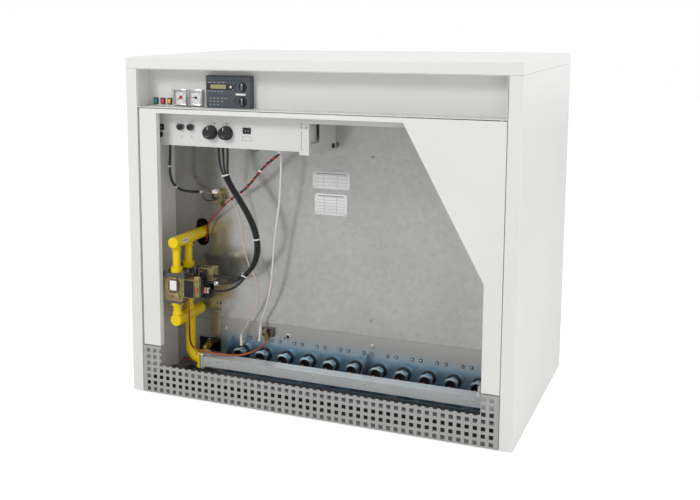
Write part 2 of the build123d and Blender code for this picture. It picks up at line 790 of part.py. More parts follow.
# Lower gas header: two inlets, a header along the depth, a down pipe, an elbow and its flange
down_y = front + down_pipe_y
elbow_z = manifold_z + elbow_radius
flange_x = gas_x + elbow_radius
with BuildPart() as lower_gas_header:
    low_cap_y = front + lower_cap_depth
    rod((gas_x, low_cap_y, lower_header_z), (0, 1, 0), lower_header_diameter, lower_header_length)
    fillet(lower_gas_header.edges().filter_by(GeomType.CIRCLE), radius=6.0)
    inlet_top = valve_bottom - lower_flange[2]
    for y in riser_ys:
        rod((gas_x, y, lower_header_z), (0, 0, 1), riser_diameter + 2.0, inlet_top - lower_header_z)
        rod((gas_x, y, inlet_top - 10.0), (0, 0, 1), collar_diameter, 10.0)
    rod((gas_x, down_y, elbow_z), (0, 0, 1), down_pipe_diameter, lower_header_z - elbow_z)
    with BuildLine(Plane((flange_x, down_y, elbow_z), x_dir=(1, 0, 0), z_dir=(0, -1, 0))) as bend:
        CenterArc((0, 0), elbow_radius, 180, 90)
    with BuildSketch(Plane((gas_x, down_y, elbow_z), z_dir=(0, 0, -1))):
        Circle(down_pipe_diameter / 2)
    sweep(path=bend.line)
    with BuildSketch(Plane((flange_x, down_y, manifold_z), z_dir=(1, 0, 0))):
        RectangleRounded(flange_size, flange_size, 6.0)
    extrude(amount=flange_sheet)
keep(lower_gas_header, "lower_gas_header")


# Gasket between the lower header's flange and the manifold
with BuildPart() as manifold_gasket:
    with BuildSketch(Plane((flange_x + flange_sheet, down_y, manifold_z), z_dir=(1, 0, 0))):
        RectangleRounded(flange_size - 2.0, flange_size - 2.0, 5.0)
        Circle(down_pipe_diameter / 2 - pipe_wall, mode=Mode.SUBTRACT)
    extrude(amount=gasket_sheet)
keep(manifold_gasket, "manifold_gasket")


# Burner manifold: a rectangular tube in front of the burner mouths, with its flange plate and a test nipple
manifold_left = flange_x + flange_sheet + gasket_sheet
manifold_right = tray_right - 6.0
manifold_low = manifold_z - manifold_height / 2
manifold_high = manifold_z + manifold_height / 2
with BuildPart() as burner_manifold:
    with BuildSketch(Plane((manifold_left, down_y, manifold_z), z_dir=(1, 0, 0))):
        RectangleRounded(flange_size, flange_size, 6.0)
    extrude(amount=flange_sheet)
    block(
        (manifold_left, manifold_right),
        (manifold_back - manifold_depth, manifold_back),
        (manifold_low, manifold_high),
    )
    block(
        (manifold_left - 1.0, manifold_right - manifold_wall),
        (manifold_back - manifold_depth + manifold_wall, manifold_back - manifold_wall),
        (manifold_low + manifold_wall, manifold_high - manifold_wall),
        mode=Mode.SUBTRACT,
    )
    nipple_foot = (burner_xs[-1] - 1.5 * burner_pitch / 2, manifold_y, manifold_high)
    rod(nipple_foot, (0, 0, 1), nipple_diameter, nipple_height)
    rod(nipple_foot, (0, 0, 1), nipple_diameter + 4.0, 6.0)
keep(burner_manifold, "burner_manifold")


# Injectors: one nozzle for each burner, screwed into the manifold's rear face
with BuildPart() as injectors:
    for x in burner_xs:
        nozzle = (x, manifold_back, burner_axis_z)
        rod(nozzle, (0, 1, 0), injector_diameter, injector_length * 0.6)
        rod(nozzle, (0, 1, 0), injector_diameter * 0.6, injector_length)
        rod(nozzle, (0, 1, 0), 2.0, injector_length, mode=Mode.SUBTRACT)
keep(injectors, "injectors")


# Burner plate: galvanised front of the tray, with a hole round each burner tube
plate_screw_points = [
    (x + burner_pitch / 2 + side * plate_screw_spacing / 2, plate_screw_z)
    for x in burner_xs[:-1]
    for side in (-1, 1)
]
with BuildPart() as burner_plate:
    plate_x = (plate_left, tray_right)
    block(plate_x, (inner_y, inner_y + tray_sheet), (tray_bottom + tray_sheet, tray_top - 0.5))
    cuts = [(x, burner_axis_z, burner_hole_diameter) for x in burner_xs]
    cuts += [(x, z, screw_hole) for x, z in plate_screw_points]
    for x, z in ((ignition_at, pilot_z), (ionisation_at, ionisation_z)):
        cuts.append((x, z, electrode_diameter + 2 * electrode_clearance))
    for x, z, diameter in cuts:
        rod((x, inner_y - 1.0, z), (0, 1, 0), diameter, tray_sheet + 2.0, mode=Mode.SUBTRACT)
keep(burner_plate, "burner_plate")


# Burner tray: floor with a front shelf, two side walls, a rear wall and three gussets that stiffen the shelf
tray_back = block_back + shelf_rear_gap
shelf_front = manifold_back - manifold_depth
with BuildPart() as burner_tray:
    tray_x = (tray_left, tray_right)
    block(tray_x, (shelf_front, tray_back), (tray_bottom, tray_bottom + tray_sheet))
    for x in (tray_left, tray_right - tray_sheet):
        block((x, x + tray_sheet), (inner_y + tray_sheet, tray_back), (tray_bottom, tray_top))
    block(tray_x, (tray_back - tray_sheet, tray_back), (tray_bottom, tray_top))
    middle_x = burner_xs[len(burner_xs) // 2] - burner_pitch / 2
    for x in (tray_left, middle_x, tray_right - tray_sheet):
        with BuildSketch(Plane((x, inner_y, tray_bottom), x_dir=(0, 1, 0), z_dir=(1, 0, 0))):
            with BuildLine():
                Polyline(
                    (0, 0),
                    (-gusset_reach, 0),
                    (-gusset_reach, gusset_tip),
                    (0, gusset_height),
                    close=True,
                )
            make_face()
        extrude(amount=tray_sheet)
keep(burner_tray, "burner_tray")


# Burners: a venturi tube with a flared mouth, and a flat-topped bar on two feet
def burner(x):
    bar_front = inner_y + burner_tube_length - burner_mouth_reach
    bar_low = burner_axis_z - burner_bar[2] / 2 + 6.0
    start = (x, mouth_y, burner_axis_z)
    rod(start, (0, 1, 0), burner_tube_diameter, burner_tube_length)
    rod(start, (0, 1, 0), burner_mouth_diameter, 3.0)
    bar_middle = (x, bar_front, bar_low + burner_bar[2] / 2)
    with BuildSketch(Plane(bar_middle, x_dir=(1, 0, 0), z_dir=(0, 1, 0))) as bar:
        RectangleRounded(burner_bar[0], burner_bar[2], 8.0)
    extrude(bar.sketch, amount=burner_bar[1])
    throat = burner_tube_diameter - 2 * burner_tube_wall
    rod(start, (0, 1, 0), throat, burner_tube_length + 20.0, mode=Mode.SUBTRACT)
    foot_x = (x - burner_foot[0] / 2, x + burner_foot[0] / 2)
    foot_z = (tray_bottom + tray_sheet, bar_low + 2.0)
    for foot_y in (bar_front + 6.0, bar_front + burner_bar[1] - 6.0 - burner_foot[1]):
        block(foot_x, (foot_y, foot_y + burner_foot[1]), foot_z)


with BuildPart() as burners:
    for x in burner_xs:
        burner(x)
keep(burners, "burners")


# Pilot burner: a bracket on the burner plate, the pilot head and its inlet from below
pilot_inlet_z = pilot_z - 12.0
with BuildPart() as pilot_burner:
    block(
        (pilot_at - pilot_plate[0] / 2, pilot_at + pilot_plate[0] / 2),
        (inner_y - pilot_plate[1], inner_y),
        (pilot_z + 1.0 - pilot_plate[2] / 2, pilot_z + 1.0 + pilot_plate[2] / 2),
    )
    rod((pilot_at, inner_y - 2.0, pilot_z + 6.0), (0, -1, 0), pilot_head[0], pilot_head[1])
    rod((pilot_at, pilot_y, pilot_inlet_z), (0, 0, 1), pilot_inlet[0], pilot_inlet[1])
    hole = electrode_diameter + 2 * electrode_clearance
    rod((ignition_at, inner_y + 1.0, pilot_z), (0, -1, 0), hole, pilot_plate[1] + 2.0, mode=Mode.SUBTRACT)
keep(pilot_burner, "pilot_burner")


# Electrodes: ceramic rods through the burner plate, each with an upright boot for its lead
boot_y = inner_y - boot_reach
with BuildPart() as electrodes:
    for x, z in ((ignition_at, pilot_z), (ionisation_at, ionisation_z)):
        rod((x, boot_y, z), (0, 1, 0), electrode_diameter, boot_reach + electrode_depth)
        rod((x, boot_y, z - 6.0), (0, 0, 1), boot_diameter, boot_rise + 6.0)
keep(electrodes, "electrodes")


# Drain cock: valve body in the drain opening, with a pipe that runs to the lowest corner of the block
cock_at = left + cock_x
cock_y = inner_y - cock_reach
drain_y = block_front + drain_depth
drain_z = block_bottom + drain_rise
with BuildPart() as drain_cock:
    rod((cock_at, cock_y, cock_z), (0, 1, 0), cock_diameter, 24.0)
    rod((cock_at, cock_y - 10.0, cock_z), (0, 1, 0), cock_diameter - 5.0, 12.0)
    rod((cock_at, cock_y + 12.0, cock_z), (0, 0, 1), cock_spindle[0], cock_spindle[1])
    rod((cock_at, cock_y + 20.0, cock_z), (0, 1, 0), cock_pipe, 12.0)
    drain_route = [
        (cock_at, cock_y + 30.0, cock_z),
        (cock_at, drain_y, cock_z),
        (cock_at, drain_y, drain_z),
        (tray_left, drain_y, drain_z),
    ]
    with BuildLine() as drain_line:
        FilletPolyline(*drain_route, radius=drain_bend)
    with BuildSketch(Plane(origin=drain_line.line @ 0, z_dir=drain_line.line % 0)):
        Circle(cock_pipe / 2)
    sweep(path=drain_line.line)
keep(drain_cock, "drain_cock")


# Drain cock handle: a lever that turns a quarter on the spindle's top
with BuildPart() as drain_cock_handle:
    lever_z = cock_z + cock_spindle[1] + seat_gap
    with BuildSketch(Plane((cock_at, cock_y + 12.0, lever_z))):
        with Locations((14.0, 0)):
            SlotOverall(cock_lever[0], cock_lever[1])
    extrude(amount=cock_lever[2])
    fillet(drain_cock_handle.edges().group_by(Axis.Z)[-1], radius=1.0)
keep(drain_cock_handle, "drain_cock_handle")


# Pressure switch: round brass-coloured body on a bracket on the inner panel
with BuildPart() as pressure_switch:
    switch_at = left + switch_x
    block(
        (switch_at - switch_plate[0], switch_at + switch_plate[1]),
        (inner_y - 2.0, inner_y),
        (switch_z - switch_plate[2], switch_z + switch_plate[3]),
    )
    rod((switch_at, inner_y - 2.0, switch_z), (0, -1, 0), switch_diameter, switch_length)
    fillet(pressure_switch.edges().filter_by(GeomType.CIRCLE).sort_by(Axis.Y)[0], radius=4.0)
    rod((switch_at, inner_y - 16.0, switch_z - switch_stem[1]), (0, 0, 1), switch_stem[0], 24.0)
    block(
        (switch_at - 10.0 - switch_plug, switch_at - 10.0),
        (inner_y - 6.0 - switch_plug, inner_y - 6.0),
        (switch_z + 4.0, switch_z + 20.0),
    )
keep(pressure_switch, "pressure_switch")


# Boiler block: hollow cast-iron sections joined at round ports, flueways between them, closed end plates
ports = ((flow_y, flow_z), (return_y, return_z))
rod_points = [
    (y, z)
    for y in (block_front + rod_inset, block_back - rod_inset)
    for z in (block_bottom + rod_inset, block_top - rod_inset)
]
with BuildPart() as boiler_sections:
    for i, x in enumerate(section_xs):
        first = i == 0
        last = i == len(section_xs) - 1
        low = tray_left if first else x - section_body / 2
        high = tray_right if last else x + section_body / 2
        block((low, high), (block_front, block_back), (block_bottom, block_top))
        for y, z in ports:
            port_low = tray_left if first else x - burner_pitch / 2 + section_gap / 2
            port_high = tray_right if last else x + burner_pitch / 2 - section_gap / 2
            rod((port_low, y, z), (1, 0, 0), port_diameter, port_high - port_low)
    for x in section_xs[1:-1]:
        block(
            (x - section_body / 2 + section_wall, x + section_body / 2 - section_wall),
            (block_front + 2 * rod_inset, block_back - 2 * rod_inset),
            (block_bottom + section_wall, block_top - section_wall),
            mode=Mode.SUBTRACT,
        )
    for y, z in ports:
        bore = port_diameter - 2 * section_wall
        rod((section_xs[1], y, z), (1, 0, 0), bore, section_xs[-2] - section_xs[1], mode=Mode.SUBTRACT)
    for y, z in rod_points:
        hole = rod_diameter + 1.0
        rod((tray_left - 1.0, y, z), (1, 0, 0), hole, tray_right - tray_left + 2.0, mode=Mode.SUBTRACT)
keep(boiler_sections, "boiler_sections")


# Tie rods: four rods through the corners of the sections, with a nut at each end
with BuildPart() as tie_rods:
    rod_left = tray_left - nut_thickness
    rod_length = tray_right - tray_left + 2 * nut_thickness
    for y, z in rod_points:
        rod((rod_left, y, z), (1, 0, 0), rod_diameter, rod_length)
        for x in (rod_left, tray_right):
            with BuildSketch(Plane((x, y, z), z_dir=(1, 0, 0))):
                RegularPolygon(nut_width / 2, 6)
            extrude(amount=nut_thickness)
keep(tie_rods, "tie_rods")


# Insulation jacket: glass-wool slabs on the left side and the rear of the block
with BuildPart() as insulation_jacket:
    slab_x = (tray_left - jacket_gap - jacket_sheet, tray_left - jacket_gap)
    slab_y = (block_back + jacket_rear_gap, block_back + jacket_rear_gap + jacket_sheet)
    slab_z = (block_bottom - jacket_drop, block_top)
    cut_through = jacket_sheet + 2.0
    block(slab_x, (block_front, slab_y[1]), slab_z)
    block((slab_x[0], tray_right), slab_y, slab_z)
    rod((slab_x[0] - 1.0, drain_y, drain_z), (1, 0, 0), cock_pipe + 1.0, cut_through, mode=Mode.SUBTRACT)
    for z in (flow_z, return_z):
        pipe_hole = water_pipe_diameter + 1.0
        rod((water_x, slab_y[0] - 1.0, z), (0, 1, 0), pipe_hole, cut_through, mode=Mode.SUBTRACT)
keep(insulation_jacket, "insulation_jacket")


# Flue hood: a sheet collector over the sections, with a sloping front and a round spigot at the rear
hood_x = (tray_left + hood_side, tray_right - hood_side)
hood_back = back - hood_rear_gap
with BuildPart() as flue_hood:
    with BuildSketch(Plane((hood_x[0], 0, 0), x_dir=(0, 1, 0), z_dir=(1, 0, 0))):
        with BuildLine():
            Polyline(
                (block_front, block_top),
                (block_front, block_top + hood_front_height),
                (hood_back - hood_flat_depth, hood_top),
                (hood_back, hood_top),
                (hood_back, block_top),
                close=True,
            )
        make_face()
    extrude(amount=hood_x[1] - hood_x[0])
    offset(amount=-hood_sheet, openings=flue_hood.faces().sort_by(Axis.Z)[0])
    rod((spigot_x, hood_back - 2.0, spigot_z), (0, 1, 0), spigot_diameter, gas_rear_y - hood_back + 2.0)
    rod((spigot_x, back + 2.0, spigot_z), (0, 1, 0), spigot_bead[0], spigot_bead[1])
    spigot_bore = spigot_diameter - 2 * hood_sheet
    spigot_start = (spigot_x, hood_back - 4.0, spigot_z)
    rod(spigot_start, (0, 1, 0), spigot_bore, gas_rear_y - hood_back + 6.0, mode=Mode.SUBTRACT)
keep(flue_hood, "flue_hood")


# Water pipes: flow and return stubs from the block out through the rear panel, each with a threaded end
with BuildPart() as water_pipes:
    reach = gas_rear_y - block_back
    bore = water_pipe_diameter - 2 * water_wall
    for z in (flow_z, return_z):
        rod((water_x, block_back, z), (0, 1, 0), water_pipe_diameter, reach - thread_length)
        rod((water_x, block_back, z), (0, 1, 0), water_thread_diameter, reach)
        rod((water_x, block_back, z), (0, 1, 0), bore, reach, mode=Mode.SUBTRACT)
keep(water_pipes, "water_pipes")


# Pilot gas tube: thin copper tube from the front valve down, over the manifold and up into the pilot burner
with BuildPart() as pilot_tube:
    pilot_route = [
        (168.0, 58.0, coil_z),
        (168.0, 58.0, 262.0),
        (166.0, 64.0, 222.0),
        (158.0, 78.0, 182.0),
        (151.0, 92.0, 148.0),
        (160.0, 101.0, 125.0),
        (186.0, 106.0, 119.0),
        (222.0, 116.0, 113.0),
        (262.0, 128.0, 109.0),
        (300.0, 141.0, 109.0),
        (330.0, 159.0, 117.0),
        (349.0, 184.0, 127.0),
        (pilot_x, bay_depth - 12.0, 142.0),
        (pilot_x, bay_depth - 12.0, pilot_inlet_z),
    ]
    cord(pilot_route, pilot_tube_diameter, "pilot_tube")
keep(pilot_tube, "pilot_tube")


# Control box: a folded tray, open at the rear, with a hole for each control
with BuildPart() as control_box:
    block((box_left, box_right_x), (box_y, box_y + box_depth), (box_bottom, box_top))
    block(
        (box_left + box_sheet, box_right_x - box_sheet),
        (box_y + box_sheet, box_y + box_depth + 1.0),
        (box_bottom + box_sheet, box_top - box_sheet),
        mode=Mode.SUBTRACT,
    )
    holes = [(x, knob_z, spindle_diameter) for x in knob_positions]
    holes += [(x, cap_z, cap_stem) for x in cap_positions]
    holes.append((rocker_positions[0], fuse_z, fuse_diameter - 4.0))
    for x, z, diameter in holes:
        hole = diameter + 2 * running_clearance
        rod((left + x, box_y - 1.0, z), (0, 1, 0), hole, box_sheet + 2.0, mode=Mode.SUBTRACT)
    half_width = rocker_width / 2 + rocker_gap
    half_height = rocker_height / 2 + rocker_gap
    for x in rocker_positions:
        rocker_hole_x = (left + x - half_width, left + x + half_width)
        rocker_hole_y = (box_y - 1.0, box_y + box_sheet + 1.0)
        rocker_hole_z = (rocker_z - half_height, rocker_z + half_height)
        block(rocker_hole_x, rocker_hole_y, rocker_hole_z, mode=Mode.SUBTRACT)
keep(control_box, "control_box")


# Control box bracket: one bent sheet that closes the box's right end and runs back to the inner panel
bracket_left = box_right_x
bracket_right = bracket_left + bracket_width
bracket_y = front + cross_rail_front
with BuildPart() as control_box_bracket:
    with BuildSketch(Plane.XY.offset(box_bottom - bracket_drop)):
        with BuildLine():
            Polyline(
                (bracket_left, bracket_y + cross_rail_depth),
                (bracket_left, bracket_y),
                (bracket_right, bracket_y),
                (bracket_right + bracket_splay, inner_y),
                (bracket_right + bracket_splay - box_sheet, inner_y),
                (bracket_right - box_sheet, bracket_y + box_sheet),
                (bracket_left + box_sheet, bracket_y + box_sheet),
                (bracket_left + box_sheet, bracket_y + cross_rail_depth),
                close=True,
            )
        make_face()
    extrude(amount=box_height + bracket_drop)
    block(
        (bracket_right - 2 * box_sheet, bracket_right + bracket_splay + 1.0),
        (front + bracket_window[0], front + bracket_window[1]),
        (box_bottom + 21.0, box_top - 5.0),
        mode=Mode.SUBTRACT,
    )
keep(control_box_bracket, "control_box_bracket")


# Thermostat knobs: a skirt, a grip and a spindle that turns in the control box
def thermostat_knob(x):
    seat_y = box_y - seat_gap
    with BuildPart() as knob:
        rod((x, seat_y, knob_z), (0, -1, 0), knob_diameter, knob_skirt)
        fillet(knob.edges().sort_by(Axis.Y)[0], radius=2.0)
        rod((x, seat_y, knob_z), (0, -1, 0), knob_diameter - 6.0, knob_reach - seat_gap)
        fillet(knob.edges().sort_by(Axis.Y)[0], radius=2.5)
        rod((x, seat_y, knob_z), (0, 1, 0), spindle_diameter, seat_gap + control_body_depth)
    return knob


left_thermostat_knob = thermostat_knob(left + knob_positions[0])
keep(left_thermostat_knob, "left_thermostat_knob")
right_thermostat_knob = thermostat_knob(left + knob_positions[1])
keep(right_thermostat_knob, "right_thermostat_knob")


# Reset buttons: a domed cap on a stem that slides in the control box
def reset_button(x):
    cap_y = box_y - cap_travel - seat_gap
    with BuildPart() as button:
        rod((x, cap_y, cap_z), (0, -1, 0), cap_diameter, cap_length)
        fillet(button.edges().sort_by(Axis.Y)[0], radius=4.0)
        rod((x, cap_y, cap_z), (0, 1, 0), cap_stem, cap_travel + seat_gap + control_body_depth)
    return button


left_reset_button = reset_button(left + cap_positions[0])
keep(left_reset_button, "left_reset_button")
right_reset_button = reset_button(left + cap_positions[1])
keep(right_reset_button, "right_reset_button")


# Rockers: each lies tilted in its hole, with a face that dips in the middle
def rocker(x):
    half = rocker_width / 2
    proud = 3.0
    depth = 7.0
    along = (cos(radians(rocker_tilt)), sin(radians(rocker_tilt)), 0)
    with BuildPart() as key:
        with BuildSketch(Plane((x, box_y + box_sheet / 2, rocker_z - rocker_height / 2), x_dir=along)):
            with BuildLine():
                Polyline(
                    (-half, depth),
                    (-half, -proud),
                    (0, 1.0 - proud),
                    (half, -proud),
                    (half, depth),
                    close=True,
                )
            make_face()
        extrude(amount=rocker_height)
        fillet(key.edges().group_by(Axis.Y)[0], radius=0.4)
    return key


main_rocker = rocker(left + rocker_positions[0])
keep(main_rocker, "main_rocker")
test_rocker = rocker(left + rocker_positions[1])
keep(test_rocker, "test_rocker")


# Fuse holder: a round screw-in cap below the main rocker
with BuildPart() as fuse_holder:
    fuse_at = (left + rocker_positions[0], box_y, fuse_z)
    rod(fuse_at, (0, -1, 0), fuse_diameter, fuse_reach)
    fillet(fuse_holder.edges().sort_by(Axis.Y)[0], radius=1.2)
    rod(fuse_at, (0, 1, 0), fuse_diameter - 4.0, control_body_depth)
    block(
        (fuse_at[0] - 5.0, fuse_at[0] + 5.0),
        (box_y - fuse_reach - 1.0, box_y - fuse_reach + 1.2),
        (fuse_z - 0.8, fuse_z + 0.8),
        mode=Mode.SUBTRACT,
    )
keep(fuse_holder, "fuse_holder")


# Indicator lamps: three square bezels, each with a raised lens
with BuildPart() as indicator_lamps:
    for x in lamp_positions:
        lamp_at = left + x
        for width, height, low, high in (
            (lamp_width, lamp_height, lamp_lens[2] - lamp_reach, 0.0),
            (lamp_lens[0], lamp_lens[1], -lamp_reach, 0.0),
            (lamp_width - 4.0, lamp_height - 4.0, 0.0, control_body_depth),
        ):
            block(
                (lamp_at - width / 2, lamp_at + width / 2),
                (fascia_y + low, fascia_y + high),
                (lamp_z - height / 2, lamp_z + height / 2),
            )
keep(indicator_lamps, "indicator_lamps")


# Gauge cases: a square frame round a sunken dial, with a body behind the fascia
gauge_front = fascia_y - gauge_reach
with BuildPart() as gauge_cases:
    for x in gauge_positions:
        gauge_at = left + x
        for width, low, high, mode in (
            (gauge_size, gauge_front, fascia_y, Mode.ADD),
            (gauge_cutout - 2 * seat_gap, fascia_y, fascia_y + gauge_body_depth, Mode.ADD),
            (gauge_size - 2 * gauge_frame, gauge_front - 1.0, gauge_front + dial_face_depth, Mode.SUBTRACT),
        ):
            block(
                (gauge_at - width / 2, gauge_at + width / 2),
                (low, high),
                (gauge_z - width / 2, gauge_z + width / 2),
                mode=mode,
            )
        hole = pointer_spindle + 2 * running_clearance
        rod((gauge_at, gauge_front, gauge_z), (0, 1, 0), hole, dial_face_depth + 8.0, mode=Mode.SUBTRACT)
keep(gauge_cases, "gauge_cases")


# Gauge pointers: a thin blade with a hub, on a spindle that turns in the dial
def gauge_pointer(x, angle):
    dial_y = gauge_front + dial_face_depth
    with BuildPart() as pointer:
        heading = (cos(radians(angle)), 0, sin(radians(angle)))
        with BuildSketch(Plane((x, dial_y - seat_gap, gauge_z), x_dir=heading, z_dir=(0, -1, 0))):
            Circle(pointer_hub / 2)
            with BuildLine():
                Polyline((0, 1.3), (pointer_length, 0.4), (pointer_length, -0.4), (0, -1.3), close=True)
            make_face()
        extrude(amount=pointer_sheet)
        rod((x, dial_y - seat_gap, gauge_z), (0, -1, 0), pointer_hub, pointer_sheet + 1.0)
        rod((x, dial_y - seat_gap, gauge_z), (0, 1, 0), pointer_spindle, seat_gap + 6.0)
    return pointer


thermometer_pointer = gauge_pointer(left + gauge_positions[0], 210.0)
keep(thermometer_pointer, "thermometer_pointer")
pressure_gauge_pointer = gauge_pointer(left + gauge_positions[1], 180.0)
keep(pressure_gauge_pointer, "pressure_gauge_pointer")


# Controller housing: a panel-mounted block with a display window, two dial recesses and a button hole
controller_at = left + controller_x
display_middle = controller_z + dial_rises[0]
display_x = (controller_at - controller_width / 2 + 3.0, controller_at + display_right)
display_z = (display_middle - display_height / 2, display_middle + display_height / 2)
dial_at = controller_at + dial_x
button_at = controller_at + button_x
button_z = controller_z + button_rise
with BuildPart() as controller_housing:
    half_width = controller_width / 2
    half_height = controller_height / 2
    block(
        (controller_at - half_width, controller_at + half_width),
        (controller_front, fascia_y),
        (controller_z - half_height, controller_z + half_height),
    )
    fillet(controller_housing.faces().sort_by(Axis.Y)[0].edges(), radius=controller_edge_radius)
    block(
        (cut_x[0] + seat_gap, cut_x[1] - seat_gap),
        (fascia_y, fascia_y + controller_body_depth),
        (cut_z[0] + seat_gap, cut_z[1] - seat_gap),
    )
    block(display_x, (controller_front - 1.0, controller_front + 2.0), display_z, mode=Mode.SUBTRACT)
    face = Plane((0, controller_front - 1.0, 0), x_dir=(1, 0, 0), z_dir=(0, -1, 0))
    for rise in dial_rises:
        recess_at = dial_at - (dial_recess_length - dial_diameter) / 2 + 1.0
        with BuildSketch(face):
            with Locations((recess_at, controller_z + rise)):
                SlotOverall(dial_recess_length, dial_diameter + 2.0)
        extrude(amount=-dial_recess - 1.0, mode=Mode.SUBTRACT)
        hole = spindle_diameter + 2 * running_clearance
        hole_depth = dial_recess + dial_spindle_depth + 2.0
        rod((dial_at, controller_front, controller_z + rise), (0, 1, 0), hole, hole_depth, mode=Mode.SUBTRACT)
    hole = button_diameter + 2 * running_clearance
    hole_depth = button_body + button_travel + 2.5
    rod((button_at, controller_front, button_z), (0, 1, 0), hole, hole_depth, mode=Mode.SUBTRACT)
keep(controller_housing, "controller_housing")


# Controller dials: a disc in its recess, with a raised grip bar and a spindle
def controller_dial(rise):
    recess_y = controller_front + dial_recess
    dial_z = controller_z + rise
    with BuildPart() as dial:
        rod((dial_at, recess_y - seat_gap, dial_z), (0, -1, 0), dial_diameter, dial_recess)
        fillet(dial.edges().sort_by(Axis.Y)[0], radius=0.8)
        grip_x = (dial_at - dial_grip_width / 2, dial_at + dial_grip_width / 2)
        grip_y = (controller_front - dial_reach, recess_y - seat_gap - 1.0)
        grip_half = dial_diameter / 2 - 2.0
        block(grip_x, grip_y, (dial_z - grip_half, dial_z + grip_half))
        fillet(dial.faces().sort_by(Axis.Y)[0].edges(), radius=1.2)
        spindle_length = seat_gap + dial_spindle_depth
        rod((dial_at, recess_y - seat_gap, dial_z), (0, 1, 0), spindle_diameter, spindle_length)
    return dial


controller_upper_dial = controller_dial(dial_rises[0])
keep(controller_upper_dial, "controller_upper_dial")
controller_lower_dial = controller_dial(dial_rises[1])
keep(controller_lower_dial, "controller_lower_dial")


# Controller button: a round metal push button at the end of the display
with BuildPart() as controller_button:
    button_front = (button_at, controller_front - button_reach, button_z)
    rod(button_front, (0, 1, 0), button_diameter, button_reach + button_body)
    fillet(controller_button.edges().sort_by(Axis.Y)[0], radius=0.8)
keep(controller_button, "controller_button")


# Main harness: three black cables from the control box, side by side, to the plugs of the rear actuator
plug_left = gas_axis_x + body_width / 2 + rear_coil_width + bracket_sheet
plug_right = plug_left + plug_block[0]
side_right = plug_right + side_block[0]
socket_right = plug_left + plug_socket[0]
trunk = [
    (267.0, 678.0),
    (288.0, 640.0),
    (318.0, 599.0),
    (348.0, 553.0),
    (369.0, 504.0),
    (375.0, 453.0),
    (361.0, 407.0),
    (331.0, 373.0),
]
with BuildPart() as main_harness:
    for i, (start_x, tail) in enumerate((
        (253.0, [(300.0, 104.0, 362.0), (262.0, 107.0, 362.0), (side_right, 110.0, 362.0)]),
        (264.0, [(302.0, 111.0, 350.0), (262.0, 108.0, 340.0), (plug_right, 107.0, 340.0)]),
        (275.0, [(306.0, 119.0, 338.0), (278.0, 116.0, 321.0), (246.0, 112.0, 314.0),
                 (socket_right, 110.0, 314.0)]),
    )):
        y = 104.0 + i * harness_pitch
        middle = [(x + 3.0 * i, y, z) for x, z in trunk]
        route = [(start_x, y, box_bottom), (start_x, y, 722.0), *middle, *tail]
        cord(route, harness_wire, "main_harness")
keep(main_harness, "main_harness")


# Pressure switch cable: down beside the liner wall, then across to the switch
switch_plug_left = switch_x - 10.0 - switch_plug
with BuildPart() as pressure_switch_cable:
    switch_route = [
        (65.0, 140.0, box_bottom),
        (65.0, 140.0, 722.0),
        (61.0, 140.0, 678.0),
        (66.0, 143.0, 638.0),
        (90.0, 152.0, 613.0),
        (122.0, 170.0, 606.0),
        (148.0, bay_depth - 15.0, switch_z + 12.0),
        (switch_plug_left, bay_depth - 15.0, switch_z + 12.0),
    ]
    cord(switch_route, left_cable_diameter, "pressure_switch_cable")
keep(pressure_switch_cable, "pressure_switch_cable")


# Limiter wires: a twisted pair from the control box, through the slot, to the jacket on the block
with BuildPart() as limiter_wires:
    limiter_route = [
        (450.0, 112.0, box_bottom),
        (450.0, 112.0, 748.0),
        (421.0, 115.0, 729.0),
        (388.0, 120.0, 701.0),
        (354.0, 128.0, 661.0),
        (314.0, 138.0, 624.0),
        (264.0, 150.0, 594.0),
        (217.0, 165.0, 550.0),
        (175.0, 182.0, 514.0),
        (162.0, 193.0, 488.0),
        (158.0, 201.0, 462.0),
        (146.0, 212.0, 442.0),
        (136.0, 232.0, 437.0),
        (142.0, 260.0, 438.0),
        (168.0, 276.0, 442.0),
        (casing_to_jacket, 276.0, 442.0),
    ]
    cord(limiter_route, twisted_pair_diameter, "limiter_wires")
keep(limiter_wires, "limiter_wires")


# Electrode leads: the white ignition lead and the thinner ionisation lead
with BuildPart() as electrode_leads:
    ignition_route = [
        (449.0, 124.0, box_bottom),
        (449.0, 124.0, 712.0),
        (445.0, 128.0, 660.0),
        (439.0, 134.0, 602.0),
        (426.0, 140.0, 536.0),
        (414.0, 147.0, 464.0),
        (406.0, 153.0, 392.0),
        (395.0, 160.0, 322.0),
        (376.0, 170.0, 262.0),
        (356.0, 182.0, 220.0),
        (pilot_x + ignition_offset, bay_depth - boot_reach, 205.0),
        (pilot_x + ignition_offset, bay_depth - boot_reach, pilot_z + boot_rise),
    ]
    cord(ignition_route, ignition_diameter, "ignition_lead")
    ionisation_route = [
        (258.0, 138.0, box_bottom),
        (258.0, 138.0, 722.0),
        (256.0, 141.0, 676.0),
        (258.0, 153.0, 630.0),
        (272.0, 160.0, 586.0),
        (290.0, 162.0, 545.0),
        (299.0, 163.0, 500.0),
        (303.0, 164.0, 452.0),
        (314.0, 165.0, 408.0),
        (333.0, 167.0, 368.0),
        (350.0, 169.0, 330.0),
        (350.0, 172.0, 291.0),
        (334.0, 177.0, 254.0),
        (315.0, 182.0, 216.0),
        (294.0, 188.0, 182.0),
        (ionisation_x, bay_depth - boot_reach, 162.0),
        (ionisation_x, bay_depth - boot_reach, ionisation_z + boot_rise),
    ]
    cord(ionisation_route, ionisation_diameter, "ionisation_lead")
keep(electrode_leads, "electrode_leads")


# Panel screws: round-headed screws in the inner panel and the burner plate
with BuildPart() as panel_screws:
    for x, z in panel_screw_points + plate_screw_points:
        rod((x, inner_y - screw_head_height, z), (0, 1, 0), screw_head, screw_head_height)
        rod((x, inner_y, z), (0, 1, 0), screw_shank, screw_reach)
keep(panel_screws, "panel_screws")
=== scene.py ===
import math

import bmesh
import bpy
from mathutils import Matrix, Vector


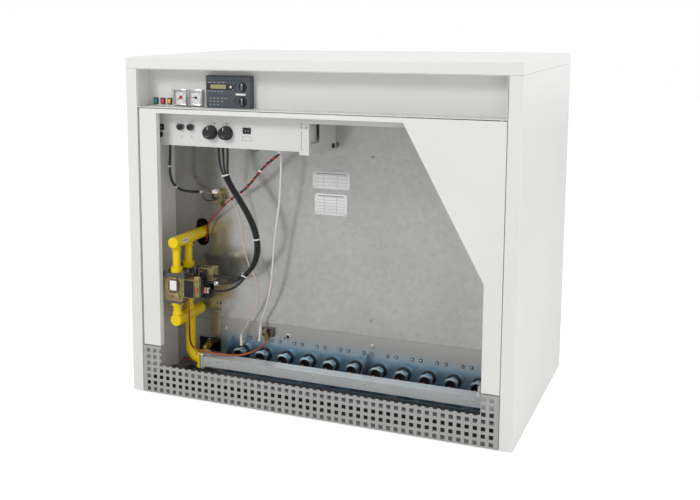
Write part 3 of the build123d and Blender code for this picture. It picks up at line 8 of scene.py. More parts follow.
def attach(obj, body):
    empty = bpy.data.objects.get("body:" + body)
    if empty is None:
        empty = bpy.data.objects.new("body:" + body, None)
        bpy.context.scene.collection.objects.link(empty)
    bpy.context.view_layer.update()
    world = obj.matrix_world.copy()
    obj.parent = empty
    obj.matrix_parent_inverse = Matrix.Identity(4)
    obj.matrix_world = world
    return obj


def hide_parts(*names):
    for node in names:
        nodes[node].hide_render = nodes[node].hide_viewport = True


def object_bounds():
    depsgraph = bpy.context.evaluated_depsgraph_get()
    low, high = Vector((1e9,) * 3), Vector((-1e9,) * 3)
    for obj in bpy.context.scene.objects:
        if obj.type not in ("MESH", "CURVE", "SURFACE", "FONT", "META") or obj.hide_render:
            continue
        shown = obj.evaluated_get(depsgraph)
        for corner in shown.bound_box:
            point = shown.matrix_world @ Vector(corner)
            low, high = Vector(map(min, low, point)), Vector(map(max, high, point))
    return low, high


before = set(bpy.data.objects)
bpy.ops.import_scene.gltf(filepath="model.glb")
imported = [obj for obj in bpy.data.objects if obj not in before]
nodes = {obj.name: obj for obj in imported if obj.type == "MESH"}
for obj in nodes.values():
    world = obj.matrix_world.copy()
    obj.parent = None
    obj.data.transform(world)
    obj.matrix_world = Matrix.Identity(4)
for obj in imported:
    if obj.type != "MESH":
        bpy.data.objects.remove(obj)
cad_box = [list(corner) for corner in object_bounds()]
scene = bpy.context.scene

BODY = "boiler_body"
# The casing's left side and front face, from the frame's box, in metres to a tenth of a millimetre
LEFT, FRONT = (round(value, 4) for value in cad_box[0][:2])
AHEAD, BEHIND = (0, -1, 0), (0, 1, 0)
TO_LEFT, TO_RIGHT = (-1, 0, 0), (1, 0, 0)
UP, DOWN = (0, 0, 1), (0, 0, -1)


# Materials
def srgb(text):
    """A colour written as #RRGGBB, in Blender's linear values."""
    values = [int(text[i:i + 2], 16) / 255 for i in (1, 3, 5)]
    return [v / 12.92 if v <= 0.04045 else ((v + 0.055) / 1.055) ** 2.4 for v in values] + [1.0]


def link(tree, source, target):
    tree.links.new(source, target)


def texture(tree, kind, coordinates, scale, **settings):
    node = tree.nodes.new(kind)
    node.inputs["Scale"].default_value = scale
    for name, value in settings.items():
        node.inputs[name.replace("_", " ").title()].default_value = value
    link(tree, coordinates, node.inputs["Vector"])
    return node


def remap(tree, source, low, high, to_low, to_high):
    node = tree.nodes.new("ShaderNodeMapRange")
    for name, value in (("From Min", low), ("From Max", high), ("To Min", to_low), ("To Max", to_high)):
        node.inputs[name].default_value = value
    link(tree, source, node.inputs["Value"])
    return node.outputs["Result"]


def mix(tree, factor, first, second, mode="MIX"):
    node = tree.nodes.new("ShaderNodeMix")
    node.data_type = "RGBA"
    node.blend_type = mode
    if isinstance(factor, float):
        node.inputs["Factor"].default_value = factor
    else:
        link(tree, factor, node.inputs["Factor"])
    for socket, value in ((node.inputs["A"], first), (node.inputs["B"], second)):
        if isinstance(value, list):
            socket.default_value = value
        else:
            link(tree, value, socket)
    return node.outputs["Result"]


def material(name, colour, second, roughness, patch, grain, bump, metallic=0.0, patch_share=0.5, cells=None,
             speck=None, coat=(0.0, 0.1), emission=None, upper=None, bump_distance=0.0004,
             stretch=(1, 1, 1), specular=0.5, sheen=0.0):
    """Two tones in soft patches, with fine grain in roughness and bump, all procedural.

    More can be laid over them: crystal cells (scale, share), specks (colour, share, scale), a coat (weight,
    roughness), a glow (colour, strength) and another colour further up (colour, from height, to height).
    """
    made = bpy.data.materials.new(name)
    made.use_nodes = True
    tree = made.node_tree
    shader = tree.nodes["Principled BSDF"]
    place = tree.nodes.new("ShaderNodeTexCoord")
    scaled = tree.nodes.new("ShaderNodeMapping")
    scaled.inputs["Scale"].default_value = stretch
    link(tree, place.outputs["Object"], scaled.inputs["Vector"])
    where = scaled.outputs["Vector"]
    patches = texture(tree, "ShaderNodeTexNoise", where, patch, detail=4.0, roughness=0.55)
    share = remap(tree, patches.outputs["Fac"], 0.35, 0.68, 0.0, patch_share)
    tint = mix(tree, share, srgb(colour), srgb(second))
    if cells:
        crystal = texture(tree, "ShaderNodeTexVoronoi", where, cells[0], randomness=1.0)
        grey = tree.nodes.new("ShaderNodeSeparateColor")
        link(tree, crystal.outputs["Color"], grey.inputs["Color"])
        tone = remap(tree, grey.outputs["Red"], 0.0, 1.0, 1.0 - cells[1], 1.0 + cells[1])
        tint = mix(tree, 1.0, tint, tone, "MULTIPLY")
    if speck:
        dots = texture(tree, "ShaderNodeTexNoise", where, speck[2], detail=6.0, roughness=0.7)
        tint = mix(tree, remap(tree, dots.outputs["Fac"], 0.56, 0.70, 0.0, speck[1]), tint, srgb(speck[0]))
    if upper:
        split = tree.nodes.new("ShaderNodeSeparateXYZ")
        link(tree, place.outputs["Object"], split.inputs["Vector"])
        rise = remap(tree, split.outputs["Z"], upper[1], upper[2], 0.0, 1.0)
        tint = mix(tree, rise, tint, srgb(upper[0]))
    link(tree, tint, shader.inputs["Base Color"])
    fine = texture(tree, "ShaderNodeTexNoise", where, grain, detail=3.0, roughness=0.6)
    link(tree, remap(tree, fine.outputs["Fac"], 0.3, 0.7, *roughness), shader.inputs["Roughness"])
    relief = tree.nodes.new("ShaderNodeBump")
    relief.inputs["Strength"].default_value = bump
    relief.inputs["Distance"].default_value = bump_distance
    link(tree, fine.outputs["Fac"], relief.inputs["Height"])
    link(tree, relief.outputs["Normal"], shader.inputs["Normal"])
    for entry, value in (("Metallic", metallic), ("Specular IOR Level", specular), ("IOR", 1.45),
                         ("Coat Weight", coat[0]), ("Coat Roughness", coat[1]), ("Sheen Weight", sheen)):
        shader.inputs[entry].default_value = value
    if emission:
        shader.inputs["Emission Color"].default_value = srgb(emission[0])
        shader.inputs["Emission Strength"].default_value = emission[1]
    return made


enamel = material("white_powder_coat", "#ECECE9", "#E6E6E3", (0.3, 0.42), 3, 900, 0.05, coat=(0.15, 0.25))
top_enamel = material("top_powder_coat", "#EDEDEA", "#E7E7E4", (0.3, 0.42), 2, 900, 0.05, coat=(0.15, 0.25))
plinth_enamel = material("plinth_powder_coat", "#ADADAB", "#A5A5A3", (0.34, 0.46), 4, 900, 0.05)
shade_black = material("foot_rail_shade", "#2C2C2B", "#232322", (0.7, 0.85), 6, 700, 0.03)
fascia_enamel = material("fascia_powder_coat", "#E3E3E0", "#DCDCD9", (0.34, 0.46), 4, 900, 0.05)
liner_enamel = material("liner_powder_coat", "#E4E3DF", "#DAD9D4", (0.36, 0.5), 5, 900, 0.05)
box_enamel = material("control_box_paint", "#E0E0DE", "#D9D9D6", (0.34, 0.46), 6, 900, 0.05)
galvanised = material("galvanised_panel", "#B9B9B7", "#A9A9A6", (0.17, 0.27), 5, 500, 0.04, 0.85,
                      cells=(70, 0.05), speck=("#8F8D88", 0.25, 220))
zinc_blue = material("zinc_tray_sheet", "#A9B6BE", "#87A1B2", (0.22, 0.4), 12, 260, 0.06, 0.9,
                     patch_share=0.8, cells=(110, 0.12))
# Burner plate: the bluish tone low down is painted reflection of the burner tubes over the zinc's own tint;
# from 125 to 165 mm up it turns to plain grey zinc
zinc_plate_and_reflection = material("zinc_burner_plate_and_reflection", "#93A9B8", "#6F94AC", (0.3, 0.35), 12, 90, 0.01, 0.85,
                      patch_share=0.8, cells=(40, 0.03), upper=("#AFAFAD", 0.125, 0.165))
zinc_tube = material("zinc_burner_tube", "#B4BEC3", "#8FA6B3", (0.16, 0.32), 30, 300, 0.04, 0.95,
                     patch_share=0.8, cells=(150, 0.08))
rail_paint = material("manifold_zinc", "#DADDDD", "#C6CBCD", (0.3, 0.45), 9, 300, 0.04, 0.35,
                      speck=("#A9AFB2", 0.3, 90))
yellow = material("gas_yellow_gloss", "#F6D800", "#EDC600", (0.22, 0.34), 10, 160, 0.08, coat=(0.15, 0.15),
                  specular=0.3)
flange_grey = material("flange_phosphated", "#66686B", "#4C4E52", (0.35, 0.5), 30, 300, 0.08, 0.6)
chromate = material("valve_chromate", "#A89C6C", "#82745A", (0.28, 0.48), 40, 350, 0.1, 0.75,
                    patch_share=1.0, speck=("#5A4A38", 0.6, 90))
coil_black = material("coil_moulding", "#1C1D20", "#26272B", (0.35, 0.5), 40, 700, 0.06)
gasket_fibre = material("gasket_fibre", "#55584F", "#454840", (0.8, 0.9), 60, 900, 0.2)
brass = material("aged_brass", "#B0904F", "#8B6C3A", (0.25, 0.42), 40, 400, 0.05, 0.9,
                 speck=("#5E4A2C", 0.5, 120))
copper = material("copper_tube", "#B8693E", "#8E4A2C", (0.22, 0.38), 40, 500, 0.03, 0.95)
pilot_steel = material("heated_steel", "#8E8880", "#5E5148", (0.3, 0.5), 60, 500, 0.08, 0.85,
                       patch_share=1.0)
ceramic = material("white_ceramic", "#F1EFE8", "#E6E2D8", (0.12, 0.22), 40, 300, 0.01, coat=(0.4, 0.1))
black_gloss = material("black_moulding", "#15161A", "#1D1F24", (0.18, 0.28), 40, 800, 0.03,
                       coat=(0.3, 0.15))
black_matt = material("black_matt_moulding", "#1B1C1F", "#25262A", (0.42, 0.55), 40, 900, 0.06)
magnet_white = material("magnet_case", "#DCDAD4", "#CFCDC7", (0.4, 0.5), 40, 800, 0.04)
cast_iron = material("cast_iron", "#3E3D3B", "#2E2B28", (0.55, 0.75), 14, 420, 0.45, 0.5, patch_share=0.9,
                     speck=("#5B4436", 0.35, 40), bump_distance=0.0012)
glass_wool = material("glass_wool", "#CDBB7C", "#B7A365", (0.9, 1.0), 25, 350, 0.7, patch_share=0.9,
                      bump_distance=0.003, stretch=(1, 1, 3), specular=0.1, sheen=0.2)
pipe_black = material("black_steel_pipe", "#3A3B3D", "#2A2B2E", (0.35, 0.5), 16, 300, 0.06, 0.7)
chrome = material("gauge_bezel", "#C8C9CB", "#B4B6B9", (0.16, 0.26), 30, 600, 0.02, 0.9)
slate = material("controller_slate", "#50555B", "#474C52", (0.4, 0.52), 30, 1100, 0.08)
pointer_dark = material("pointer_lacquer", "#34363C", "#2B2D32", (0.35, 0.45), 60, 900, 0.02)
pointer_red = material("pointer_hub_red", "#C8383A", "#B02C30", (0.3, 0.4), 60, 900, 0.02)
button_metal = material("button_metal", "#DCD9D0", "#C9C6BE", (0.2, 0.3), 60, 700, 0.02, 0.7)
zinc_screw = material("zinc_screw", "#B9BBB8", "#9DA09E", (0.22, 0.34), 90, 500, 0.05, 0.95)
rear_galvanised = material("rear_galvanised", "#B9BBBB", "#A9ACAD", (0.34, 0.5), 6, 400, 0.04, 0.8,
                           cells=(60, 0.08))
base_paint = material("base_rail_zinc", "#9C9C99", "#87888A", (0.4, 0.55), 8, 400, 0.05, 0.7,
                      cells=(70, 0.07))

FINISH = {
    enamel: "left_side_panel right_side_panel front_door",
    plinth_enamel: "plinth_grille",
    top_enamel: "top_cover",
    fascia_enamel: "fascia_panel",
    liner_enamel: "front_frame",
    galvanised: "inner_front_panel lower_left_plate access_cover",
    zinc_blue: "burner_tray",
    zinc_plate_and_reflection: "burner_plate",
    zinc_tube: "burners",
    rail_paint: "burner_manifold",
    rear_galvanised: "rear_panel flue_hood",
    base_paint: "base_frame",
    box_enamel: "control_box control_box_bracket",
    yellow: "upper_gas_header lower_gas_header",
    flange_grey: "valve_flanges",
    coil_black: "front_valve_actuator rear_valve_actuator",
    gasket_fibre: "manifold_gasket",
    brass: "injectors drain_cock",
    chromate: "front_gas_valve rear_gas_valve pressure_switch",
    pilot_steel: "pilot_burner",
    black_gloss: "left_thermostat_knob right_thermostat_knob left_reset_button right_reset_button",
    magnet_white: "door_magnets",
    cast_iron: "boiler_sections",
    glass_wool: "insulation_jacket",
    pipe_black: "water_pipes",
    chrome: "gauge_cases",
    slate: "controller_housing",
    pointer_dark: "thermometer_pointer pressure_gauge_pointer",
    button_metal: "controller_button",
    zinc_screw: "panel_screws tie_rods hinge_pins",
    copper: "pilot_tube",
    black_matt: "main_harness pressure_switch_cable drain_cock_handle main_rocker test_rocker fuse_holder "
                "indicator_lamps controller_upper_dial controller_lower_dial",
    pointer_red: "limiter_wires",
    ceramic: "electrodes electrode_leads",
}
for finish, names in FINISH.items():
    for name in names.split():
        slots = nodes[name].data.materials
        slots.clear()
        slots.append(finish)
# The liner's foot rail, up to a height in metres, lies in shade
FOOT_RAIL_TOP = 0.045
liner = nodes["front_frame"]
liner.data.materials.append(shade_black)
for polygon in liner.data.polygons:
    if (liner.matrix_world @ polygon.center).z < FOOT_RAIL_TOP:
        polygon.material_index = 1


# Shapes
def at(x, y, z):
    """A place in millimetres from the casing's left side, its front face and the floor."""
    return Vector((LEFT + x / 1000, FRONT + y / 1000, z / 1000))


def add(name, data, finish, body=BODY, place=(0, 0, 0), turn=(0, 0, 0)):
    """Data as a named object that rides a body and takes the finish it is given."""
    made = bpy.data.objects.new(name, data)
    made.location = place
    made.rotation_euler = turn
    scene.collection.objects.link(made)
    for one in finish if isinstance(finish, tuple) else (finish,):
        data.materials.append(one)
    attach(made, body)
    return made


def piece(name, shape, finish, body=BODY, smooth=35.0):
    """A Shape, or a mesh, as an object with smooth faces between its sharp edges."""
    mesh = shape.done() if isinstance(shape, Shape) else shape
    mesh.shade_smooth()
    mesh.set_sharp_from_angle(angle=math.radians(smooth))
    return add(name, mesh, finish, body)


class Shape:
    """A mesh put together from boxes, rounded plates and turned forms, in millimetres."""

    def __init__(self):
        self.mesh = bmesh.new()

    def mark(self, before, index):
        for face in self.mesh.faces:
            if face not in before:
                face.material_index = index

    def soften(self, edges, bevel):
        bmesh.ops.bevel(self.mesh, geom=list(edges), offset=bevel / 1000, segments=2, affect="EDGES",
                        profile=0.5)

    def block(self, xs, ys, zs, bevel=0.4, index=0):
        before = set(self.mesh.faces)
        low, high = at(xs[0], ys[0], zs[0]), at(xs[1], ys[1], zs[1])
        made = bmesh.ops.create_cube(self.mesh, size=1.0)["verts"]
        for vert in made:
            vert.co = Vector([low[i] if vert.co[i] < 0 else high[i] for i in range(3)])
        if bevel:
            self.soften(dict.fromkeys(edge for vert in made for edge in vert.link_edges), bevel)
        self.mark(before, index)
        return self

    def blocks(self, origin, rows, index=0):
        """Several blocks, each given from one origin as x0, x1, y0, y1, z0, z1 and its bevel."""
        x, y, z = origin
        for x0, x1, y0, y1, z0, z1, bevel in rows:
            self.block((x + x0, x + x1), (y + y0, y + y1), (z + z0, z + z1), bevel, index)
        return self

    def turned(self, foot, along, profile, segments=28, index=0):
        """A form turned about an axis: profile is a list of (distance along the axis, radius)."""
        before = set(self.mesh.faces)
        axis = Vector(along).normalized()
        side = axis.orthogonal().normalized()
        other = axis.cross(side)
        start = at(*foot)
        rings = []
        for distance, radius in profile:
            centre = start + axis * (distance / 1000)
            turns = [2 * math.pi * i / segments for i in range(segments)]
            ring = [centre + (side * math.cos(t) + other * math.sin(t)) * (radius / 1000) for t in turns]
            rings.append([self.mesh.verts.new(place) for place in ring])
        for lower, upper in zip(rings, rings[1:]):
            for i in range(segments):
                j = (i + 1) % segments
                self.mesh.faces.new((lower[i], lower[j], upper[j], upper[i]))
        if profile[0] != profile[-1]:
            self.mesh.faces.new(rings[0][::-1])
            self.mesh.faces.new(rings[-1])
        self.mark(before, index)
        return self

    def head(self, foot, radius, height, segments=20, along=AHEAD, index=0):
        """A domed screw head."""
        steps = ((0, 1), (0.35, 1), (0.7, 0.86), (1, 0.45), (0.8, 0.3))
        return self.turned(foot, along, [(height * a, radius * b) for a, b in steps], segments, index)

    def ring(self, foot, inner, outer, length, segments, along=AHEAD):
        """A ring with small chamfers."""
        soft = min(0.3, (outer - inner) / 3, length / 3)
        profile = [(0, inner), (0, outer - soft), (soft, outer), (length - soft, outer),
                   (length, outer - soft), (length, inner), (0, inner)]
        return self.turned(foot, along, profile, segments)

    def bolt(self, foot, along, across, height):
        """A hexagon head on a round washer."""
        washer = 1.0
        radius = across / 2 / math.cos(math.radians(30))
        flat = [(0, across * 0.72), (washer * 0.7, across * 0.72), (washer, across * 0.66)]
        self.turned(foot, along, flat, 24)
        sides = [(washer, radius), (washer + height * 0.8, radius), (washer + height, radius * 0.86)]
        return self.turned(foot, along, sides, 6)

    def plate(self, x, z, y, width, height, depth, corner=1.0, bevel=0.3, index=0, turn=0.0):
        """A rounded plate that faces the front, its middle at x and z and its rear face at y."""
        before = set(self.mesh.faces)
        corners = ((1, 1, 0), (-1, 1, 90), (-1, -1, 180), (1, -1, 270))
        steps = 6
        spin = math.radians(turn)
        ring = []
        for sx, sz, start in corners:
            for i in range(steps + 1):
                angle = math.radians(start + 90 * i / steps)
                across = sx * (width / 2 - corner) + corner * math.cos(angle)
                rise = sz * (height / 2 - corner) + corner * math.sin(angle)
                turned_x = across * math.cos(spin) - rise * math.sin(spin)
                turned_z = across * math.sin(spin) + rise * math.cos(spin)
                ring.append((x + turned_x, z + turned_z))
        back = [self.mesh.verts.new(at(px, y, pz)) for px, pz in ring]
        face = self.mesh.faces.new(back)
        moved = bmesh.ops.extrude_face_region(self.mesh, geom=[face])["geom"]
        verts = [item for item in moved if isinstance(item, bmesh.types.BMVert)]
        bmesh.ops.translate(self.mesh, vec=(0, -depth / 1000, 0), verts=verts)
        if bevel:
            self.soften((item for item in moved if isinstance(item, bmesh.types.BMEdge)), bevel)
        self.mark(before, index)
        return self

    def flat(self, x, z, y, width, height, depth=0.15, corner=0.3, index=0, turn=0.0):
        """A thin plate with no bevel, for what is printed or inlaid."""
        return self.plate(x, z, y, width, height, depth, corner, 0, index, turn)

    def dial_marks(self, x, z, y, radius, angles, length, width, depth=0.15, corner=0.3, index=0):
        """Thin marks on a circle, each pointing at its middle."""
        for angle in angles:
            turn = math.radians(angle)
            self.flat(x + radius * math.cos(turn), z + radius * math.sin(turn), y, length, width, depth,
                      corner, index, angle)
        return self

    def done(self):
        bmesh.ops.remove_doubles(self.mesh, verts=self.mesh.verts, dist=1e-7)
        bmesh.ops.recalc_face_normals(self.mesh, faces=self.mesh.faces)
        made = bpy.data.meshes.new("shape")
        self.mesh.to_mesh(made)
        self.mesh.free()
        return made


# Cables
TIE_WIDTH = 4.5


def nurbs(name, places, diameter, steps=10, sides=5):
    """A round NURBS line drawn by a list of places, its diameter in millimetres."""
    data = bpy.data.curves.new(name, "CURVE")
    data.dimensions = "3D"
    data.resolution_u = steps
    spline = data.splines.new("NURBS")
    spline.points.add(len(places) - 1)
    for point, place in zip(spline.points, places):
        point.co = (*place, 1.0)
    spline.order_u = 3
    spline.use_endpoint_u = True
    data.bevel_depth = diameter / 2000
    data.bevel_resolution = sides
    data.use_fill_caps = True
    return data


def cable(name, route, diameter, finish):
    return add(name, nurbs(name, [at(*place) for place in route], diameter), finish)


def line_of(route):
    """Points along a route's NURBS line, from a curve with no thickness."""
    curve = bpy.data.objects.new("line", nurbs("line", [at(*place) for place in route], 0.0))
    curve.data.use_fill_caps = False
    scene.collection.objects.link(curve)
    depsgraph = bpy.context.evaluated_depsgraph_get()
    mesh = bpy.data.meshes.new_from_object(curve.evaluated_get(depsgraph))
    points = [vert.co.copy() for vert in mesh.vertices]
    bpy.data.objects.remove(curve)
    return points


def tie(name, route, near, diameter):
    """A cable tie round a route, at its point nearest to a place, with its square head and cut tail."""
    points = line_of(route)
    place = at(*near)
    i = min(range(1, len(points) - 1), key=lambda k: (points[k] - place).length)
    along = (points[i + 1] - points[i - 1]).normalized()
    middle = points[i]
    foot = ((middle.x - LEFT) * 1000, (middle.y - FRONT) * 1000, middle.z * 1000)
    start = [foot[k] - along[k] * TIE_WIDTH / 2 for k in range(3)]
    shape = Shape()
    radius = diameter / 2
    shape.ring(start, radius - 0.2, radius + 1.2, TIE_WIDTH, 24, along)
    shape.blocks((foot[0] - radius * 0.5, foot[1] - radius - 2.5, foot[2]),
                 [(-2.6, 2.6, 0, 4.0, -2.6, 2.6, 0.6), (2.4, 6.5, 0.8, 2.0, -1.3, 1.3, 0.3)])
    return piece(name, shape, nylon)


red_wire = material("red_wire", "#B4281E", "#8E1E18", (0.3, 0.42), 40, 700, 0.03)
black_wire = material("black_wire", "#1E1F22", "#2A2B2E", (0.34, 0.48), 40, 700, 0.05)
white_lead = material("white_silicone", "#E9E4DE", "#DCD6CF", (0.3, 0.42), 30, 700, 0.03, coat=(0.15, 0.2))
pink_lead = material("pale_pink_silicone", "#DCC9BF", "#CDB8AE", (0.32, 0.44), 30, 700, 0.03)
tan_wire = material("tan_wire", "#B9926A", "#9F7A55", (0.32, 0.44), 40, 700, 0.03)
nylon = material("tie_nylon", "#ECEBE8", "#DEDDD9", (0.28, 0.4), 90, 900, 0.03)

# Main harness: three black cables in one trunk, the outer two with a ribbed boot at the plug
BOX_LOW, START_XS, TRUNK_Y, TRUNK_PITCH = 767, (253, 264, 275), 104, 8
TRUNK = [(267, 678), (288, 640), (318, 599), (348, 553), (369, 504), (375, 453), (361, 407), (331, 373)]
TAILS = [
    [(300, 104, 362), (262, 107, 362), (227, 110, 362)],
    [(302, 111, 350), (262, 108, 340), (207, 107, 340)],
    [(306, 119, 338), (278, 116, 321), (246, 112, 314), (212, 110, 314)],
]
BOOT = [(-1, 5.6), (2, 5.6), (2.6, 4.6), (4.6, 4.6), (5.2, 5.2), (7.2, 5.2), (7.8, 4.4), (9.8, 4.4),
        (10.4, 4.8), (12, 4.8), (14, 3.9)]
GLAND = [(0, 7.0), (2.5, 7.0), (3.0, 5.6), (9.0, 5.2), (12.0, 4.2)]
trunk_routes = []
for i, (start_x, tail) in enumerate(zip(START_XS, TAILS)):
    y = TRUNK_Y + TRUNK_PITCH * i
    middle = [(x + 3 * i, y, z) for x, z in TRUNK]
    route = [(start_x, y, BOX_LOW), (start_x, y, 722), *middle, *tail]
    trunk_routes.append(route)
    lead = cable(f"harness_cable_{i + 1}", route, 6.8, black_wire)
    if i == 0:
        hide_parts("main_harness")
    # The middle cable runs into the gland nut, so only the others have a boot
    if i != 1:
        piece(f"harness_boot_{i + 1}", Shape().turned(tail[-1], TO_RIGHT, BOOT, 20), black_wire)
    gland = Shape().turned((start_x, y, BOX_LOW + 0.5), DOWN, GLAND, 20)
    piece(f"harness_gland_{i + 1}", gland, black_wire)
HARNESS_TIES = (((278.8, 112, 676), 21), ((372.6, 112, 485), 19), ((333.0, 112, 376), 19))
for i, (near, diameter) in enumerate(HARNESS_TIES):
    tie(f"harness_tie_{i + 1}", trunk_routes[1], near, diameter)

# Pressure switch cable: a black sheath to a white connector, then two thin wires to the switch
SWITCH_ROUTE = [(65, 140, 767), (65, 140, 722), (61, 140, 678), (66, 143, 638), (90, 152, 613),
                (122, 170, 606), (141, 196, 604)]
sheath = cable("switch_cable", SWITCH_ROUTE, 8.0, black_wire)
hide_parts("pressure_switch_cable")
gland = Shape().turned((65, 140, 767.5), DOWN, [(0, 7.5), (3, 7.5), (3.6, 6.0), (11, 5.2)], 20)
piece("switch_cable_gland", gland, black_wire)
piece("switch_connector", Shape().block((136, 147), (189, 202), (600.5, 608), 0.8), nylon)
TAN_ROUTE = [(146, 196, 606), (158, 198, 604), (172, 200, 600), (184, 202, 597)]
BLACK_ROUTE = [(146, 195, 602), (149, 194, 590), (154, 195, 580), (166, 198, 577), (178, 200, 578),
               (190, 201, 581)]
cable("switch_wire_tan", TAN_ROUTE, 3.0, tan_wire)
cable("switch_wire_black", BLACK_ROUTE, 3.4, black_wire)
tie("switch_tie_1", SWITCH_ROUTE, (62, 140, 688), 8)
tie("switch_tie_2", SWITCH_ROUTE, (80, 148, 620), 8)

# Limiter wires: two strands twisted round each other down to a height, then two thin ones into the slot
LIMITER_ROUTE = [(450, 112, 767), (450, 112, 748), (421, 115, 729), (388, 120, 701), (354, 128, 661),
                 (314, 138, 624), (264, 150, 594), (217, 165, 550), (175, 182, 514), (162, 193, 488),
                 (158, 201, 462), (146, 212, 442), (136, 232, 437), (142, 260, 438), (168, 276, 442),
                 (196, 276, 442)]
# The length of one turn, how far each strand lies off the line and where the twist ends, in metres
TWIST_PITCH, WIDE, NARROW, SPLIT_Z = 0.034, 0.0024, 0.0012, 0.600


def strand(name, points, phase, spread, diameter, finish):
    """One strand that winds round a line of points."""
    run, places = 0.0, []
    for i, point in enumerate(points):
        ahead = points[min(i + 1, len(points) - 1)] - points[max(i - 1, 0)]
        side = ahead.cross(Vector((0, 1, 0))).normalized()
        other = ahead.cross(side).normalized()
        if i:
            run += (point - points[i - 1]).length
        turn = 2 * math.pi * run / TWIST_PITCH + phase
        places.append(point + (side * math.cos(turn) + other * math.sin(turn)) * spread)
    return add(name, nurbs(name, places, diameter, steps=3, sides=4), finish)


limiter_line = line_of(LIMITER_ROUTE)
split = next(i for i, point in enumerate(limiter_line) if point.z < SPLIT_Z)
twisted, alone = limiter_line[:split + 1], limiter_line[split:]
red_strand = strand("limiter_wire_red", twisted, 0.0, WIDE, 4.4, red_wire)
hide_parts("limiter_wires")
strand("limiter_wire_black", twisted, math.pi, WIDE, 4.4, black_wire)
strand("limiter_capillary_a", alone, 0.0, NARROW, 2.6, red_wire)
strand("limiter_capillary_b", alone, math.pi, NARROW, 2.6, red_wire)
tie("limiter_tie_1", LIMITER_ROUTE, (381.7, 125, 697), 8)
tie("limiter_tie_2", LIMITER_ROUTE, (305.8, 140, 619), 8)

# Electrode leads: the white ignition lead and the thin pale one
IGNITION_ROUTE = [(449, 124, 767), (449, 124, 712), (445, 128, 660), (439, 134, 602), (426, 140, 536),
                  (414, 147, 464), (406, 153, 392), (395, 160, 322), (376, 170, 262), (356, 182, 220),
                  (347, 191, 205), (347, 191, 186)]
IONISATION_ROUTE = [(258, 138, 767), (258, 138, 722), (256, 141, 676), (258, 153, 630), (272, 160, 586),
                    (290, 162, 545), (299, 163, 500), (303, 164, 452), (314, 165, 408), (333, 167, 368),
                    (350, 169, 330), (350, 172, 291), (334, 177, 254), (315, 182, 216), (294, 188, 182),
                    (280, 191, 162), (280, 191, 144)]
ignition = cable("ignition_lead", IGNITION_ROUTE, 6.4, white_lead)
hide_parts("electrode_leads")
cable("ionisation_lead", IONISATION_ROUTE, 4.6, pink_lead)
boot = Shape().turned((347, 191, 190), (-0.06, -0.12, -1),
                      [(-6, 3.6), (0, 4.6), (2, 5.0), (20, 5.0), (22, 4.2), (42, 4.0), (43, 3.0)], 20)
piece("ignition_boot", boot, white_lead)
boot = Shape().turned((280, 191, 152), DOWN, [(-8, 3.0), (0, 3.6), (2, 4.2), (14, 4.2), (15, 3.4)], 20)
piece("ionisation_boot", boot, white_lead)
# Terminal block at the box's lower edge, where the limiter wires and the ignition lead come out
terminal = Shape().block((441, 457), (105, 131), (757, 767), 0.8)
terminal.block((444, 454), (108, 128), (750, 757.5), 0.5)
piece("lead_terminal", terminal, box_enamel)

# Pressure switch: a pale terminal cap with a dark port and a dark tag under it
cap = Shape().block((190, 208), (176, 196), (604, 616), 2.0)
cap.turned((203, 174, 590), AHEAD, [(0, 6.5), (2, 6.5), (2.6, 5.5), (2.6, 3), (1.6, 2.4)], 24, index=1)
cap.block((186, 192), (180, 190), (588, 602), 0.8, index=1)
piece("pressure_switch_cap", cap, (nylon, black_wire))


cover_brown = material("valve_cover_brown", "#6E4A36", "#523528", (0.3, 0.45), 60, 500, 0.06, 0.2,
                       coat=(0.3, 0.2))
label_white = material("label_paper", "#F2F2F0", "#E6E6E4", (0.45, 0.6), 60, 900, 0.02)
label_rule = material("label_rule", "#8F9296", "#84878B", (0.5, 0.6), 90, 900, 0.01)
label_blue = material("label_blue", "#5B84C4", "#4F78B8", (0.4, 0.5), 90, 900, 0.01)
dark_bolt = material("dark_bolt", "#6A6B6E", "#55575A", (0.34, 0.46), 80, 500, 0.04, 0.7)
yoke_mottled = material("yoke_mottled", "#A89E70", "#7C7350", (0.28, 0.46), 60, 400, 0.08, 0.7,
                        patch_share=1.0, speck=("#5C4A3A", 0.8, 110))
plug_red = material("plug_red", "#D8401C", "#B23416", (0.3, 0.42), 70, 700, 0.03)
plug_white = material("plug_white", "#ECE7DC", "#D9D2C4", (0.34, 0.46), 70, 700, 0.03)
bright_nut = material("bright_nut", "#D9DAD6", "#BFC1BE", (0.18, 0.3), 80, 500, 0.03, 0.9)

